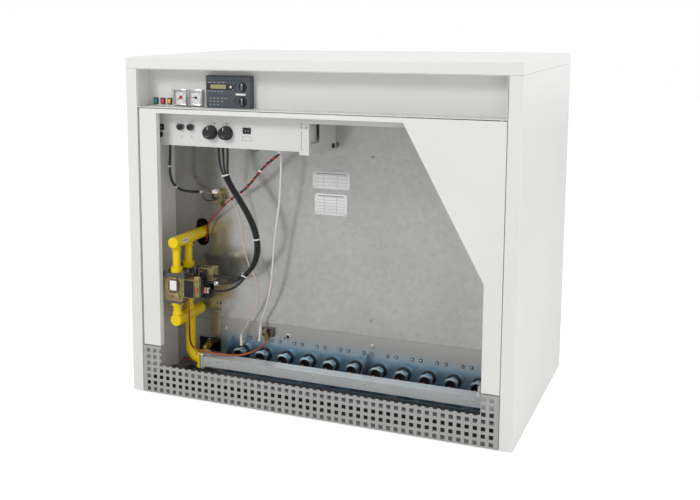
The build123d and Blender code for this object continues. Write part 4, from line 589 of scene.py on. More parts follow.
GAS_X, GAS_PIPE_Z, RISER_YS = 134, 472, (48, 122)
VALVE_X, VALVE_LEFT, VALVE_LOW, VALVE_HIGH = 137, 104, 292, 366
COVER_Z, RELIEF_Z = 342, 310
for side, y in zip(("front", "rear"), RISER_YS):
    # Flange bolts, above the upper flange and below the lower one
    bolts = Shape()
    for dx in (-29, 29):
        for dy in (-15, 15):
            bolts.bolt((GAS_X + dx, y + dy, VALVE_HIGH + 14), UP, 9, 5)
    for dx in (-19, 19):
        for dy in (-16, 16):
            bolts.bolt((GAS_X + dx, y + dy, VALVE_LOW - 5), DOWN, 7, 3.5)
    piece(f"{side}_flange_bolts", bolts, dark_bolt)
    # Valve cover, the relief below it with its nipple and plug, and the screws
    face = y - 26
    cover = Shape().plate(VALVE_X, COVER_Z, face, 36, 44, 1.8, corner=14, bevel=0.6)
    cover.plate(VALVE_X, COVER_Z, face - 1.6, 30, 38, 0.9, corner=11, bevel=0.4)
    piece(f"{side}_valve_cover", cover, cover_brown)
    relief = Shape().plate(VALVE_X, RELIEF_Z, face + 0.2, 40, 15, 1.6, corner=5, bevel=0.6)
    relief.plate(VALVE_X, VALVE_HIGH, face + 0.2, 24, 5, 2.2, corner=2, bevel=0.6)
    nipple = [(0, 4.6), (2.2, 4.6), (3.0, 3.6), (3.0, 2.0), (2.0, 1.6)]
    relief.turned((VALVE_X - 12, face - 1.2, RELIEF_Z - 1), AHEAD, nipple, 20)
    relief.turned((VALVE_X + 12, face - 1.2, RELIEF_Z - 1), AHEAD, [(0, 4.0), (1.6, 4.0), (2.2, 3.2)], 6)
    piece(f"{side}_valve_relief", relief, chromate)
    fixings = Shape()
    for dx in (-19.5, 19.5):
        for dz in (-38, 21):
            fixings.head((VALVE_X + dx, face + 0.6, COVER_Z + dz), 2.8, 2.4)
    fixings.turned((VALVE_LEFT, y - 6, 348), TO_LEFT, [(0, 6), (3, 6), (3.4, 4.4), (9, 4.4), (9.6, 3.4)],
                   20)
    fixings.turned((VALVE_LEFT, y + 8, 312), TO_LEFT, [(0, 7.5), (4, 7.5), (4.6, 6.5)], 6)
    piece(f"{side}_valve_fixings", fixings, brass)
    plug = Shape().turned((GAS_X, face - 1.2, 311), AHEAD, [(0, 3.6), (2, 3.6), (2.6, 2.8)])
    piece(f"{side}_valve_plug", plug, copper)

# Front coil: mottled yoke edges, cooling ribs all round it and an end housing with its screws and red cap
FRONT_Y, REAR_Y = RISER_YS
COIL_LOW = 307
FRONT_COIL, REAR_COIL = (0, FRONT_Y, COIL_LOW), (0, REAR_Y, 0)
RIB_PITCH = 4.9
yoke = Shape().blocks(FRONT_COIL, [
    (163.8, 171, -22.6, 22, 2, 56, 0.8), (171, 204, -22.4, 22, 55.5, 57.5, 0.4),
    (171, 204, -22.4, 22, 0.5, 2.5, 0.4), (204, 222, -20, -9, 5, 69, 2.4),
    (203.4, 206, -22, 22, 1, 58, 0.6), (164, 171, -22, 22, 0, 58, 1.0)])
yoke = piece("front_coil_yoke", yoke, yoke_mottled)
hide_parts("front_valve_actuator")
ribs = Shape().blocks(FRONT_COIL, [
    (171, 203.4, -21.6, 21.6, 2, 56, 1.0), (206, 215, -9, 18, 6, 52, 2.0)])
for i in range(11):
    ribs.blocks((0, FRONT_Y, COIL_LOW + 3.4 + RIB_PITCH * i), [(171.5, 203, -23.6, 22.4, 0, 2.7, 0.5)])
piece("front_coil_ribs", ribs, coil_black)
screws = Shape().head((213, FRONT_Y - 20.8, 362), 3.2, 2.0).head((213, FRONT_Y - 20.8, 324), 3.2, 2.0)
screws.head((167.4, FRONT_Y - 22.6, 359), 2.4, 1.6)
piece("front_coil_screws", screws, brass)
red_cap = Shape().turned((214, FRONT_Y - 20.8, 336), AHEAD, [(0, 4.0), (2.0, 4.0), (2.6, 3.0)], 20)
piece("front_coil_cap", red_cap, plug_red)

# Rear actuator: bracket, plug body, red and white plug, screws and gland nut; and the front valve's label
bracket = Shape().blocks(REAR_COIL, [
    (179.8, 183.2, -22.4, 22.4, 306, 385.4, 0.6), (180, 228.4, -22.6, 22.4, 381.6, 385.6, 1.0),
    (207, 227.6, -18.4, 17.6, 345.6, 381.8, 2.2), (224, 228.2, -20, 18, 352, 384, 1.0)])
piece("rear_actuator_bracket", bracket, yoke_mottled)
plug_body = Shape().blocks(REAR_COIL, [
    (183, 207.4, -20.6, 20.4, 327.6, 381.6, 1.6), (185, 205, -22, -18, 336, 378, 1.2),
    (183, 216.4, -18.6, 18.4, 289.8, 304.4, 2.2), (184, 212, -17, 19, 304, 328, 0.8)])
socket = [(0, 5.2), (2.5, 5.2), (3.2, 4.4), (3.2, 2), (2, 1.6)]
for x in (190, 201):
    plug_body.turned((x, REAR_Y - 18, 297), AHEAD, socket, 24)
plug_body.blocks(REAR_COIL, [(187, 203, -22.8, -21, z, z + 5, 0.6) for z in (341, 353, 365)])
piece("rear_plug_body", plug_body, coil_black)
red_plug = Shape().blocks(REAR_COIL, [(184, 200, -22.4, -6, 305, 326, 1.2)])
red_plug.blocks(REAR_COIL, [(199, 212.6, -21.4, -8, 307, 324, 1.2)], index=1)
red_plug.blocks(REAR_COIL, [(204, 208, -22.2, -20, 309, 322, 0.5), (186, 190, -23.2, -21, 308, 323, 0.5)])
piece("rear_red_plug", red_plug, (plug_red, plug_white))
screws = Shape().head((190, REAR_Y - 22.6, 375), 3.0, 2.0).head((217, REAR_Y - 18.4, 366), 3.0, 2.0)
piece("rear_actuator_screws", screws, brass)
gland = Shape().turned((233, 107.2, 340), TO_RIGHT, [(0, 7.4), (7, 7.4), (8, 6.4)], 6)
gland.turned((233, 107.2, 340), TO_RIGHT, [(7.5, 6.2), (12, 6.0), (13, 5.0)], 24)
piece("harness_gland_nut", gland, bright_nut)
label = Shape().plate(136.5, 343.5, FRONT_Y - 28.4, 23, 30, 0.5, corner=1.5, bevel=0.15)
piece("front_valve_label", label, label_white)


def pipe_label(name, radius, ys, turns, finish):
    """A label wrapped on the gas pipe, between two turns in degrees from its right side."""
    mesh = bmesh.new()
    steps, rows = 12, []
    for i in range(steps + 1):
        turn = math.radians(turns[0] + (turns[1] - turns[0]) * i / steps)
        x, z = GAS_X + radius * math.cos(turn), GAS_PIPE_Z + radius * math.sin(turn)
        rows.append([mesh.verts.new(at(x, y, z)) for y in ys])
    for lower, upper in zip(rows, rows[1:]):
        mesh.faces.new((lower[0], lower[1], upper[1], upper[0]))
    made = bpy.data.meshes.new(name)
    mesh.to_mesh(made)
    mesh.free()
    piece(name, made, finish)


pipe_label("gas_pipe_label", 17.75, (58, 88), (-14, 26), label_white)
pipe_label("gas_pipe_label_band", 17.9, (61, 85), (2, 16), label_blue)

# Collar rings where the drop pipes meet the headers
for i, y in enumerate(RISER_YS):
    rings = Shape().turned((GAS_X, y, 452), DOWN, [(0, 15.5), (1.5, 15.2), (6, 13.2), (7.5, 12.6)], 32)
    rings.turned((GAS_X, y, 252), UP, [(-4, 16.5), (0, 16.0), (4, 14.0), (6, 13.2)], 32)
    piece(f"pipe_fillet_{i + 1}", rings, yellow)

# Bolts and nuts of the flange on the manifold
FLANGE_X, FLANGE_Y, FLANGE_Z = 170, 128, 86
bolts = Shape()
for dy in (-19, 19):
    for dz in (-19, 19):
        bolts.bolt((FLANGE_X, FLANGE_Y + dy, FLANGE_Z + dz), TO_LEFT, 8, 4)
        bolts.bolt((FLANGE_X + 19, FLANGE_Y + dy, FLANGE_Z + dz), TO_RIGHT, 8, 5)
piece("manifold_flange_bolts", bolts, zinc_screw)

# Pilot tube with a nut at each end
PILOT_ROUTE = [(168, 58, 307), (168, 58, 262), (166, 64, 222), (158, 78, 182), (151, 92, 148),
               (160, 101, 125), (186, 106, 119), (222, 116, 113), (262, 128, 109), (300, 141, 109),
               (330, 159, 117), (349, 184, 127), (361, 203, 142), (361, 203, 160)]
tube = cable("pilot_gas_tube", PILOT_ROUTE, 6.0, copper)
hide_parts("pilot_tube")
nuts = Shape().turned((168, 58, 306), DOWN, [(0, 6.4), (8, 6.4), (9.5, 4.0)], 6)
nuts.turned((361, 203, 148), UP, [(0, 4.0), (1.5, 6.0), (9, 6.0)], 6)
piece("pilot_tube_nuts", nuts, brass)

# Stub of a copper pipe beside the lower elbow
STUB_ROUTE = [(111, 128, 78), (126, 128, 77), (140, 127, 76), (152, 126, 76)]
cable("copper_stub", STUB_ROUTE, 7.0, copper)
stub_end = Shape().turned(STUB_ROUTE[0], TO_LEFT, [(-2, 4.4), (2, 4.4), (3, 3.6)], 20)
piece("copper_stub_end", stub_end, copper)

# Drain cock: union nut, hose nozzle with its beads and the handle's screw
COCK_X, COCK_Z = 164, 112
nozzle = [(-6, 7.5), (6, 7.2), (8, 8.2), (10, 6.4), (12, 7.8), (15, 5.8)]
cock = Shape().turned((COCK_X, 190, COCK_Z), AHEAD, [(0, 11.5), (8, 11.5), (9, 10.5)], 6)
cock.turned((COCK_X, 173, COCK_Z), (0, -1, -0.35), nozzle, 24)
cock.turned((COCK_X, 205, COCK_Z + 8), UP, [(-2, 6.2), (4, 6.2), (4.6, 5.4)], 6)
piece("drain_cock_union", cock, brass)
screw = Shape().head((COCK_X, 195, 129.4), 4.0, 2.6, along=UP)
piece("drain_handle_screw", screw, zinc_screw, body="drain_cock_handle")

# Threads on the rear connections
WATER_X, THREAD_Y, THREAD_PITCH = 313.75, 766, 2.3
for name, x, z, radius, finish, slot in (
    ("gas_thread", GAS_X, GAS_PIPE_Z, 16.6, yellow, "gas_pipe_yellow"),
    ("flow_thread", WATER_X, 620, 29.8, pipe_black, "black_steel_pipe"),
    ("return_thread", WATER_X, 270, 29.8, pipe_black, "black_steel_pipe"),
):
    profile = [(0, radius - 0.6)]
    for i in range(14):
        start = THREAD_PITCH * i
        profile += [(0.6 + start, radius + 0.1), (1.4 + start, radius + 0.5), (2.2 + start, radius + 0.1)]
    profile.append((33, radius - 0.6))
    piece(name, Shape().turned((x, THREAD_Y, z), BEHIND, profile, 48), finish, smooth=20)


dial_white = material("dial_white", "#F4F4F2", "#E9E9E6", (0.4, 0.52), 60, 900, 0.01)
dial_print = material("dial_print", "#6A6E74", "#5C6066", (0.45, 0.55), 90, 900, 0.01)
print_grey = material("print_grey", "#8E9094", "#808286", (0.45, 0.55), 90, 900, 0.01)
print_blue = material("print_pale_blue", "#B9C6D6", "#A8B6C8", (0.45, 0.55), 90, 900, 0.01)
display_black = material("display_black", "#0E0F12", "#15171A", (0.1, 0.18), 60, 900, 0.01,
                         coat=(0.5, 0.05))
display_beige = material("display_liquid_crystal", "#B3AA7E", "#A49B70", (0.2, 0.3), 80, 900, 0.01)
# The grey of the dial grips is painted highlight on the black dials' raised bars
grip_highlight = material("dial_grip_highlight", "#6A7077", "#5C6269", (0.36, 0.48), 60, 900, 0.04)

# Indicator lamps: a coloured lens with a raised rim on each bezel
LAMP_Z, FASCIA_Y = 897, 72
for x, name, colour, second in ((60, "teal", "#168A98", "#12707C"), (84, "red", "#DC2A3C", "#B82232"),
                                (107, "amber", "#F2AA0A", "#D89008")):
    finish = material(f"lamp_{name}", colour, second, (0.12, 0.22), 90, 300, 0.02, coat=(0.5, 0.08),
                      emission=(colour, 0.12))
    rim = Shape().plate(x, LAMP_Z, FASCIA_Y - 3, 15, 19, 1.0, corner=1.5, bevel=0.4)
    piece(f"lamp_rim_{name}", rim, black_matt)
    glass = Shape().plate(x, LAMP_Z, FASCIA_Y - 4, 10.4, 13.4, 2.6, corner=1.5, bevel=0.8)
    piece(f"lamp_lens_{name}", glass, finish)

# Gauges: bevelled frame, white dial with its scale and numbers, pointer hubs, and a black strip filling the
# gap between the cases as painted shade
GAUGE_Z, GAUGE_FRONT, DIAL_Y = 910, 60, 68
NUMBER_RADIUS, NUMBER_HEIGHT = 11.4, 4.6
THERMOMETER_X, PRESSURE_X = 148, 199
GAUGE_ANGLES = [225 - 22.5 * i for i in range(13)]
SCALE_ANGLES = [225 - 27 * i for i in range(11)]


def number(name, text, x, z):
    """A number on a dial, with its middle at x and z."""
    data = bpy.data.curves.new(name, "FONT")
    data.body = text
    data.size = NUMBER_HEIGHT / 1000
    data.align_x = data.align_y = "CENTER"
    data.extrude = 0.00008
    add(name, data, dial_print, place=at(x, DIAL_Y - 0.12, z), turn=(math.pi / 2, 0, 0))


for name, x, labels in (("thermometer", THERMOMETER_X, ("0", "40", "80", "120")),
                        ("pressure", PRESSURE_X, ("0", "2", "4", "6"))):
    bezel = Shape()
    for sign in (-1, 1):
        bezel.blocks((x + sign * 22, GAUGE_FRONT, GAUGE_Z), [(-2.2, 2.2, -2, 2, -24, 24, 1.2)])
        bezel.blocks((x, GAUGE_FRONT, GAUGE_Z + sign * 22), [(-24, 24, -2, 2, -2.2, 2.2, 1.2)])
    piece(f"{name}_frame", bezel, chrome)
    dial = Shape().flat(x, GAUGE_Z, DIAL_Y, 40, 40, 0.08, 2)
    dial.dial_marks(x, GAUGE_Z, DIAL_Y, 17.5, GAUGE_ANGLES, 3.0, 0.5, corner=0.125, index=1)
    dial.dial_marks(x, GAUGE_Z, DIAL_Y, 17.2, GAUGE_ANGLES[::4], 3.6, 0.9, corner=0.225, index=1)
    piece(f"{name}_dial", dial, (dial_white, dial_print))
    for text, angle in zip(labels, GAUGE_ANGLES[::4]):
        turn = math.radians(angle)
        number(f"{name}_number_{text}", text, x + NUMBER_RADIUS * math.cos(turn),
               GAUGE_Z + NUMBER_RADIUS * math.sin(turn))
# The black strip is painted shade between the two gauge cases
strip = Shape().plate(173.5, GAUGE_Z, FASCIA_Y, 3.0, 44, 9.0, corner=0.6, bevel=0.4)
piece("gauge_gap_shade_strip", strip, black_matt)
hub = Shape().turned((THERMOMETER_X, DIAL_Y - 2.0, GAUGE_Z), AHEAD, [(0, 5.2), (0.8, 5.2), (1.4, 4.4)])
piece("thermometer_hub", hub, pointer_red, body="thermometer_pointer")
hub = Shape().turned((PRESSURE_X, DIAL_Y - 2.0, GAUGE_Z), AHEAD, [(0, 3.8), (0.8, 3.8), (1.4, 3.0)])
piece("pressure_hub", hub, pointer_dark, body="pressure_gauge_pointer")

# Controller: top strip, display with its digits, printed marks, pale card, button ring, scales, and grips
# whose grey is painted highlight on the dials' raised bars
CONTROLLER_X, CONTROLLER_FRONT = 315, 48
strip = Shape().plate(CONTROLLER_X, 971, CONTROLLER_FRONT, 141, 9, 1.2, corner=1.0, bevel=0.5)
strip.flat(CONTROLLER_X, 963.5, CONTROLLER_FRONT, 141, 0.9, 0.5, index=1)
strip.flat(CONTROLLER_X, 920, CONTROLLER_FRONT, 141, 0.8, 0.5, index=1)
piece("controller_strip", strip, (slate, coil_black))
DISPLAY_X, DISPLAY_Z, DIAL_CENTRE_X = 287, 945.5, 362
display = Shape().plate(DISPLAY_X, DISPLAY_Z, CONTROLLER_FRONT + 2, 81, 17.4, 0.9, corner=0.8, bevel=0.2)
piece("controller_display", display, display_black)
crystal = Shape().flat(DISPLAY_X - 4, DISPLAY_Z, CONTROLLER_FRONT + 1.1, 50, 11.5, 0.3, 0.5)
piece("controller_crystal", crystal, display_beige)
segments = Shape()
STROKES = ((0, 3, 2.2, 0.6), (0, -3, 2.2, 0.6), (-1.2, 1.4, 0.6, 2.4), (1.2, -1.4, 0.6, 2.4))
for i in range(9):
    x = DISPLAY_X - 25 + i * 5.2
    for dx, dz, width, height in STROKES:
        segments.flat(x + dx, DISPLAY_Z + dz, CONTROLLER_FRONT + 0.8, width, height, 0.1, 0.2)
piece("controller_segments", segments, display_black)
marks = Shape()
for row_z, xs in ((958.0, (256, 271, 286, 301)), (932.5, (252, 262, 272, 284, 296)),
                  (912, (258, 270, 282, 296, 308)), (903, (258, 270, 282, 296)), (894, (258, 270, 282))):
    for x in xs:
        marks.flat(x, row_z, CONTROLLER_FRONT, 7.0, 1.4, 0.25, 0.4)
piece("controller_marks", marks, print_blue)
card = Shape().flat(DIAL_CENTRE_X - 6, 924.5, CONTROLLER_FRONT, 32, 5.0, 0.4, 0.8)
piece("controller_card", card, label_white)
ring = Shape().ring((325, CONTROLLER_FRONT, DISPLAY_Z), 4.2, 6.6, 1.2, 32)
piece("controller_button_ring", ring, coil_black)
for name, z in (("upper", DISPLAY_Z), ("lower", 903.5)):
    scale = Shape().dial_marks(DIAL_CENTRE_X, z, CONTROLLER_FRONT, 17.6, SCALE_ANGLES, 2.6, 0.7, 0.2, 0.2)
    piece(f"controller_{name}_scale", scale, print_blue)
    grip = Shape().plate(DIAL_CENTRE_X, z, CONTROLLER_FRONT - 4.6, 6.6, 22, 1.0, corner=2.5, bevel=0.4)
    grip.flat(DIAL_CENTRE_X, z + 7, CONTROLLER_FRONT - 5.6, 1.2, 6, 0.2, 0.4, index=1)
    piece(f"controller_{name}_grip", grip, (grip_highlight, label_white),
          body=f"controller_{name}_dial")

# Control box: collars, knob rims and ticks, cap nuts, rocker frames, printed signs and the bare label
BOX_Y, KNOB_Z, ROCKER_Z, CAP_Z, LABEL_Z = 52, 811, 820, 824, 797
MAIN_X, TEST_X = 84, 373
GRIPS, GRIP_RADIUS = 24, 18.1
for name, x in (("left", 256), ("right", 307)):
    collar = Shape().ring((x, BOX_Y, KNOB_Z), 18.0, 21.8, 0.8, 48)
    piece(f"{name}_knob_collar", collar, print_grey)
    rim = Shape().turned((x, BOX_Y - 1.0, KNOB_Z), AHEAD,
                         [(0, 20.6), (0, 21.3), (3.4, 21.3), (4.6, 20.6), (4.6, 19.6), (0, 20.6)], 64)
    for i in range(GRIPS):
        turn = 2 * math.pi * i / GRIPS
        foot = (x + GRIP_RADIUS * math.cos(turn), BOX_Y - 6.4, KNOB_Z + GRIP_RADIUS * math.sin(turn))
        rim.turned(foot, AHEAD, [(0, 1.3), (13.5, 1.1), (14.2, 0.5)], 10)
    rim.turned((x, BOX_Y - 22.9, KNOB_Z), AHEAD, [(0, 15.0), (0.8, 14.6), (0.9, 12.6), (0.5, 12.0)], 48)
    piece(f"{name}_knob_rim", rim, black_gloss, body=f"{name}_thermostat_knob")
    tick = Shape().plate(x, KNOB_Z + 13, BOX_Y - 22.6, 1.6, 8.0, 1.4, corner=0.5, bevel=0.2)
    piece(f"{name}_knob_tick", tick, label_white, body=f"{name}_thermostat_knob")
    scale = Shape().dial_marks(x, KNOB_Z, BOX_Y, 25, SCALE_ANGLES, 3.4, 0.8)
    piece(f"{name}_knob_scale", scale, print_grey)
for name, x in (("left", 155), ("right", 189)):
    nut = Shape().ring((x, BOX_Y, CAP_Z), 10.5, 12.6, 1.4, 32)
    piece(f"{name}_cap_nut", nut, bright_nut)
    sign = Shape().flat(x + 1, 796, BOX_Y, 1.0, 9.0)
    sign.flat(x + 4, 792.5, BOX_Y, 6.0, 1.0)
    piece(f"{name}_cap_sign", sign, print_grey)
for name, x in (("main", MAIN_X), ("test", TEST_X)):
    bezel = Shape()
    for sign in (-1, 1):
        bezel.blocks((x + sign * 11.9, BOX_Y, ROCKER_Z), [(-1.1, 1.1, -1.6, 0.2, -8.5, 8.5, 0.4)])
        bezel.blocks((x, BOX_Y, ROCKER_Z + sign * 8), [(-13, 13, -1.6, 0.2, -1, 1, 0.4)])
    piece(f"{name}_rocker_bezel", bezel, black_matt)
    dot = Shape().ring((x - 4.5, BOX_Y - 1.9, ROCKER_Z), 1.0, 1.9, 0.5, 20)
    dot.flat(x + 5, ROCKER_Z, BOX_Y - 1.4, 0.9, 4.4, 0.6)
    piece(f"{name}_rocker_sign", dot, label_white, body=f"{name}_rocker")
    dashes = Shape().flat(x - 20, ROCKER_Z, BOX_Y, 5, 1.0).flat(x + 20, ROCKER_Z, BOX_Y, 5, 1.0)
    piece(f"{name}_rocker_marks", dashes, print_grey)
fuse = Shape().ring((MAIN_X, BOX_Y, LABEL_Z + 1), 7.6, 9.4, 1.4, 36)
piece("fuse_ring", fuse, black_matt)
bezel = Shape()
for sign in (-1, 1):
    bezel.flat(TEST_X + sign * 14.6, LABEL_Z, BOX_Y, 0.8, 12, 0.2, 0.2)
    bezel.flat(TEST_X, LABEL_Z + sign * 5.6, BOX_Y, 30, 0.8, 0.2, 0.2)
piece("test_label_frame", bezel, print_grey)
signs = Shape()
for x in (268, 307):
    signs.flat(x, 838, BOX_Y, 5.0, 5.0, corner=1.0)
for x in (50, 114):
    signs.flat(x, LABEL_Z, BOX_Y, 7, 1.0)
piece("control_box_signs", signs, print_grey)

# Bracket of the control box: three screws, a grey line at the fold as painted shade, the pocket seen in its
# window and the grommet
fixings = Shape().head((545, 50, 836), 3.2, 2.0).head((560, 50, 836), 3.2, 2.0)
fixings.head((545, 50, 846), 2.4, 1.4)
piece("bracket_screws", fixings, zinc_screw)
# The grey line along the bracket's fold is painted shade at the bend
fold = Shape().block((544.5, 545.7), (49.4, 50.4), (770, 826), 0.2)
piece("bracket_fold_shade_line", fold, print_grey)
pocket = Shape().block((562, 565.5), (62, 112), (790, 841), 0.5)
piece("bracket_pocket", pocket, box_enamel)
grommet = Shape().ring((582.5, 197, 770), 3.0, 7.5, 5.0, 28, along=TO_RIGHT)
piece("bracket_grommet", grommet, black_matt)


# The dark of the burner rings is painted shade of the gap round each tube's hole in the plate
ring_gap_shade = material("burner_ring", "#2A2B2D", "#1D1E20", (0.35, 0.5), 60, 500, 0.08, 0.3)
# The dark disc in each burner mouth and in the sight fitting's hole is painted shade inside them
mouth_shade = material("burner_throat", "#1B1C1E", "#232426", (0.5, 0.7), 60, 500, 0.05, 0.4)
dark_washer = material("dark_washer", "#4A4C50", "#37393C", (0.32, 0.45), 80, 500, 0.04, 0.7)
brown_knob = material("brown_knob", "#4A3830", "#382A24", (0.3, 0.42), 80, 700, 0.04)

# Burner row: a dark ring where each tube meets the plate, painted shade of the gap round its hole; a dark
# disc in each mouth, painted shade inside the tube; and the plate's screws
PLATE_Y, BURNER_Z, BURNER_PITCH, SCREW_SPREAD = 214, 97, 75.5, 13
BURNER_XS = [276 + BURNER_PITCH * i for i in range(12)]
rings, throats, washers, heads = Shape(), Shape(), Shape(), Shape()
for x in BURNER_XS:
    rings.turned((x, PLATE_Y + 0.5, BURNER_Z), AHEAD,
                 [(0, 17.6), (0, 22.0), (1.2, 22.4), (2.4, 21.6), (3.0, 20.2), (3.0, 17.6), (0, 17.6)], 40)
    throats.turned((x, 200, BURNER_Z), BEHIND, [(0, 15.6), (1, 15.6), (1.2, 15.0)], 32)
for left in BURNER_XS[:-1]:
    for x in (left + BURNER_PITCH / 2 - SCREW_SPREAD, left + BURNER_PITCH / 2 + SCREW_SPREAD):
        washers.turned((x, PLATE_Y + 1, 145), AHEAD, [(0, 5.6), (1.4, 5.6), (1.8, 5.2), (1.8, 3.0)], 24)
        heads.head((x, PLATE_Y - 0.6, 145), 3.6, 3.0)
piece("burner_rings", rings, ring_gap_shade)
piece("burner_throats", throats, mouth_shade)
piece("burner_washers", washers, dark_washer)
piece("burner_plate_screws", heads, zinc_screw)

# Injector holders: a hexagon on the manifold at each injector
holders = Shape()
for x in BURNER_XS:
    holders.turned((x, 149.5, BURNER_Z - 11), BEHIND, [(0, 9.2), (5, 9.2), (6, 8.2)], 6)
piece("injector_holders", holders, brass)

# Rivets in the manifold's front face
rivets = Shape()
for i in range(6):
    rivets.head((240 + 160 * i, 106.2, 90), 3.0, 1.4, 18)
piece("manifold_rivets", rivets, zinc_screw)

# Big screws along the plate, and the sight fitting above the third burner, with a dark disc in its hole as
# painted shade
big = Shape()
for x, z in ((212, 164), (236, 60), (705, 168), (1128, 168)):
    big.turned((x, PLATE_Y + 1, z), AHEAD, [(0, 7.2), (1.6, 7.2), (2.0, 6.6)], 28)
    big.turned((x, PLATE_Y - 1, z), AHEAD, [(0, 4.6), (3.4, 4.6), (4.2, 3.8)], 6)
piece("plate_big_screws", big, zinc_screw)
sight = Shape().turned((430, PLATE_Y + 1, 164), AHEAD, [(0, 9.4), (2.0, 9.4), (2.6, 8.6), (2.6, 5.2)], 32)
sight.turned((430, PLATE_Y - 1.5, 164), AHEAD, [(0, 5.6), (0.6, 5.4)], 28, index=1)
sight.head((419, PLATE_Y + 1, 158), 3.0, 2.4, 18, index=2)
piece("sight_fitting", sight, (bright_nut, mouth_shade, brown_knob))

# Pilot burner: its bracket's folded wings with two screws, the union and the knob
wings = Shape()
for x in (339, 380):
    wings.block((x, x + 3), (200, 213), (160, 187), 0.5)
wings.block((345, 377), (206, 212.4), (184, 188), 0.8)
for x in (345, 377):
    wings.head((x, 212, 172), 3.0, 2.4, 18)
piece("pilot_wings", wings, pilot_steel)
union = Shape().turned((361, 203, 158), UP, [(0, 6.6), (9, 6.6), (10, 5.6)], 6)
union.turned((361, 203, 168), UP, [(0, 4.8), (5, 4.8), (6, 6.4), (12, 6.4), (13, 5.4)], 24)
piece("pilot_union", union, brass)
knob = Shape().turned((350, 204, 168), AHEAD, [(0, 5.8), (5.5, 5.8), (6.5, 4.6)], 20)
piece("pilot_knob", knob, brown_knob)

# Electrodes: a collar and a holding clip on each
clips = Shape()
for x, z in ((347, 172), (280, 130)):
    clips.ring((x, 208, z), 4.2, 7.0, 2.4, 28)
    clips.block((x - 9, x + 9), (211, 213.4), (z - 4, z + 4), 0.6)
piece("electrode_clips", clips, zinc_screw)


paper_grey = material("plate_paper", "#E4E5E4", "#DADBDA", (0.4, 0.52), 20, 900, 0.02, 0.2)

# Data plates on the inner panel: bare, only ruled with thin lines, and riveted
PANEL_Y = 215
for name, x0, x1, z0, z1, rows in (("upper", 512, 630, 637, 689, 4), ("lower", 519, 622, 558, 622, 6)):
    middle_x, middle_z = (x0 + x1) / 2, (z0 + z1) / 2
    card = Shape().plate(middle_x, middle_z, PANEL_Y, x1 - x0, z1 - z0, 0.7, corner=2.5, bevel=0.2)
    for i in range(rows):
        z = z0 + (z1 - z0) * (i + 1) / (rows + 1)
        card.flat(middle_x, z, PANEL_Y - 0.6, x1 - x0 - 12, 0.7, 0.2, index=1)
    for share in (0.3, 0.68):
        x = x0 + (x1 - x0) * share
        card.flat(x, middle_z, PANEL_Y - 0.6, 0.7, z1 - z0 - 10, 0.2, index=1)
    card.flat(middle_x, z1 - 6, PANEL_Y - 0.6, x1 - x0 - 20, 3.0, 0.2, 0.6, index=1)
    piece(f"data_plate_{name}", card, (paper_grey, label_rule))
    rivets = Shape()
    for x in (x0 + 4, x1 - 4):
        for z in (z0 + 4, z1 - 4):
            rivets.head((x, PANEL_Y - 0.6, z), 1.8, 1.0, 16)
    piece(f"data_plate_{name}_rivets", rivets, zinc_screw)

# Screw heads beside the tray and on the inner panel
tray_heads, panel_heads = Shape(), Shape()
for x, z in ((186, 224), (197, 224), (186, 245), (197, 245)):
    tray_heads.head((x, PANEL_Y - 1.5, z), 3.4, 2.4)
piece("tray_screw_heads", tray_heads, dark_washer)
PANEL_PLACES = [(x, 740) for x in (60, 330, 700, 1110)] + [(60, 330), (1110, 330), (700, 250), (1110, 250)]
for x, z in PANEL_PLACES:
    panel_heads.head((x, PANEL_Y, z), 3.6, 2.4)
piece("panel_screw_heads", panel_heads, zinc_screw)

# Rear panel's screws
REAR_PANEL_Y = 760
rear_heads = Shape()
REAR_PLACES = [(x, z) for x in (20, 300, 585, 870, 1150) for z in (1012, 30)]
REAR_PLACES += [(x, z) for x in (20, 1150) for z in (270, 520, 770)]
for x, z in REAR_PLACES:
    rear_heads.head((x, REAR_PANEL_Y, z), 4.0, 2.2, along=BEHIND)
piece("rear_panel_screws", rear_heads, zinc_screw)


# Stage, camera and light
CAMERA_PLACE = (1.0792, -2.9859, 1.1368)
CAMERA_YAW, CAMERA_PITCH, CAMERA_ROLL = math.radians(24.502), math.radians(8.361), math.radians(-0.237)
FOCAL_PIXELS, IMAGE_WIDTH, IMAGE_HEIGHT = 1021.5, 700, 500
CENTRE_COLUMN, CENTRE_ROW = 275, 170
SENSOR_WIDTH = 36.0

lens = bpy.data.cameras.new("camera")
lens.sensor_width = SENSOR_WIDTH
lens.lens = FOCAL_PIXELS / IMAGE_WIDTH * SENSOR_WIDTH
lens.shift_x = (IMAGE_WIDTH / 2 - CENTRE_COLUMN) / IMAGE_WIDTH
lens.shift_y = (CENTRE_ROW - IMAGE_HEIGHT / 2) / IMAGE_WIDTH
camera = bpy.data.objects.new("camera", lens)
turned_left = Matrix.Rotation(CAMERA_YAW, 4, "Z")
tipped_down = Matrix.Rotation(math.pi / 2 - CAMERA_PITCH, 4, "X")
rolled = Matrix.Rotation(CAMERA_ROLL, 4, "Z")
camera.matrix_world = Matrix.Translation(CAMERA_PLACE) @ turned_left @ tipped_down @ rolled
scene.collection.objects.link(camera)
scene.camera = camera


def area_light(name, place, target, size, power):
    """A square light at a place, turned to its target."""
    data = bpy.data.lights.new(name, "AREA")
    data.shape = "RECTANGLE"
    data.size = data.size_y = size
    data.energy = power
    lamp = bpy.data.objects.new(name, data)
    lamp.location = place
    lamp.rotation_euler = (Vector(target) - Vector(place)).to_track_quat("-Z", "Y").to_euler()
    scene.collection.objects.link(lamp)


area_light("key", (-1.6, -3.6, 2.9), (0.0, 0.0, 0.5), 1.1, 60)
area_light("fill", (3.8, 0.1, 1.6), (0.3, 0.0, 0.5), 2.0, 40)
area_light("bay", (1.9, -2.9, 0.7), (-0.3, -0.1, 0.4), 1.0, 7)
area_light("top", (0.3, 0.3, 3.6), (0.0, 0.0, 0.5), 3.0, 21)


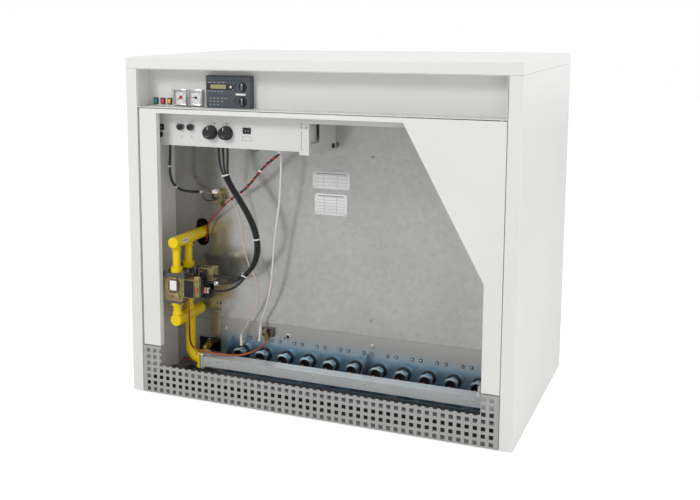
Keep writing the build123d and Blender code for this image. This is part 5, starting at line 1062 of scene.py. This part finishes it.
def operation(tree, kind, *values):
    """A maths node over one or two values, each a socket or a number."""
    node = tree.nodes.new("ShaderNodeMath")
    node.operation = kind
    for target, value in zip(node.inputs, values):
        if isinstance(value, float):
            target.default_value = value
        else:
            link(tree, value, target)
    return node.outputs["Value"]


# The surroundings look white to the camera and in reflections, and light at half their strength
world = bpy.data.worlds.new("studio")
scene.world = world
world.use_nodes = True
tree = world.node_tree
sky = tree.nodes["Background"]
ray = tree.nodes.new("ShaderNodeLightPath").outputs
bright = operation(tree, "MAXIMUM", ray["Is Camera Ray"], ray["Is Transmission Ray"])
bright = operation(tree, "MAXIMUM", bright, ray["Is Glossy Ray"])
link(tree, remap(tree, bright, 0.0, 1.0, 0.50, 1.0), sky.inputs["Strength"])
sky.inputs["Color"].default_value = (1, 1, 1, 1)

# A white floor, which glows a little to the camera outside the boiler's footprint
FLOOR_HALF, FOOTPRINT_HALF_X, FOOTPRINT_HALF_Y, FLOOR_GLOW = 12, 0.58, 0.37, 0.62
floor_mesh = bpy.data.meshes.new("floor")
corners = [(x * FLOOR_HALF, y * FLOOR_HALF, 0) for x, y in ((-1, -1), (1, -1), (1, 1), (-1, 1))]
floor_mesh.from_pydata(corners, [], [(0, 1, 2, 3)])
floor = bpy.data.objects.new("floor", floor_mesh)
scene.collection.objects.link(floor)
floor_material = bpy.data.materials.new("floor_paint")
floor_material.use_nodes = True
floor_mesh.materials.append(floor_material)
tree = floor_material.node_tree
paint = tree.nodes["Principled BSDF"]
paint.inputs["Base Color"].default_value = (0.86, 0.86, 0.86, 1)
paint.inputs["Roughness"].default_value = 0.9
ray = tree.nodes.new("ShaderNodeLightPath").outputs
spot = tree.nodes.new("ShaderNodeTexCoord")
split_place = tree.nodes.new("ShaderNodeSeparateXYZ")
link(tree, spot.outputs["Object"], split_place.inputs["Vector"])
beyond = [operation(tree, "GREATER_THAN", operation(tree, "ABSOLUTE", split_place.outputs[axis]), half)
          for axis, half in (("X", FOOTPRINT_HALF_X), ("Y", FOOTPRINT_HALF_Y))]
open_floor = operation(tree, "MULTIPLY", ray["Is Camera Ray"], operation(tree, "MAXIMUM", *beyond))
glow = remap(tree, open_floor, 0.0, 1.0, 0.0, FLOOR_GLOW)
paint.inputs["Emission Color"].default_value = (1, 1, 1, 1)
link(tree, glow, paint.inputs["Emission Strength"])

scene.view_settings.view_transform = "Standard"
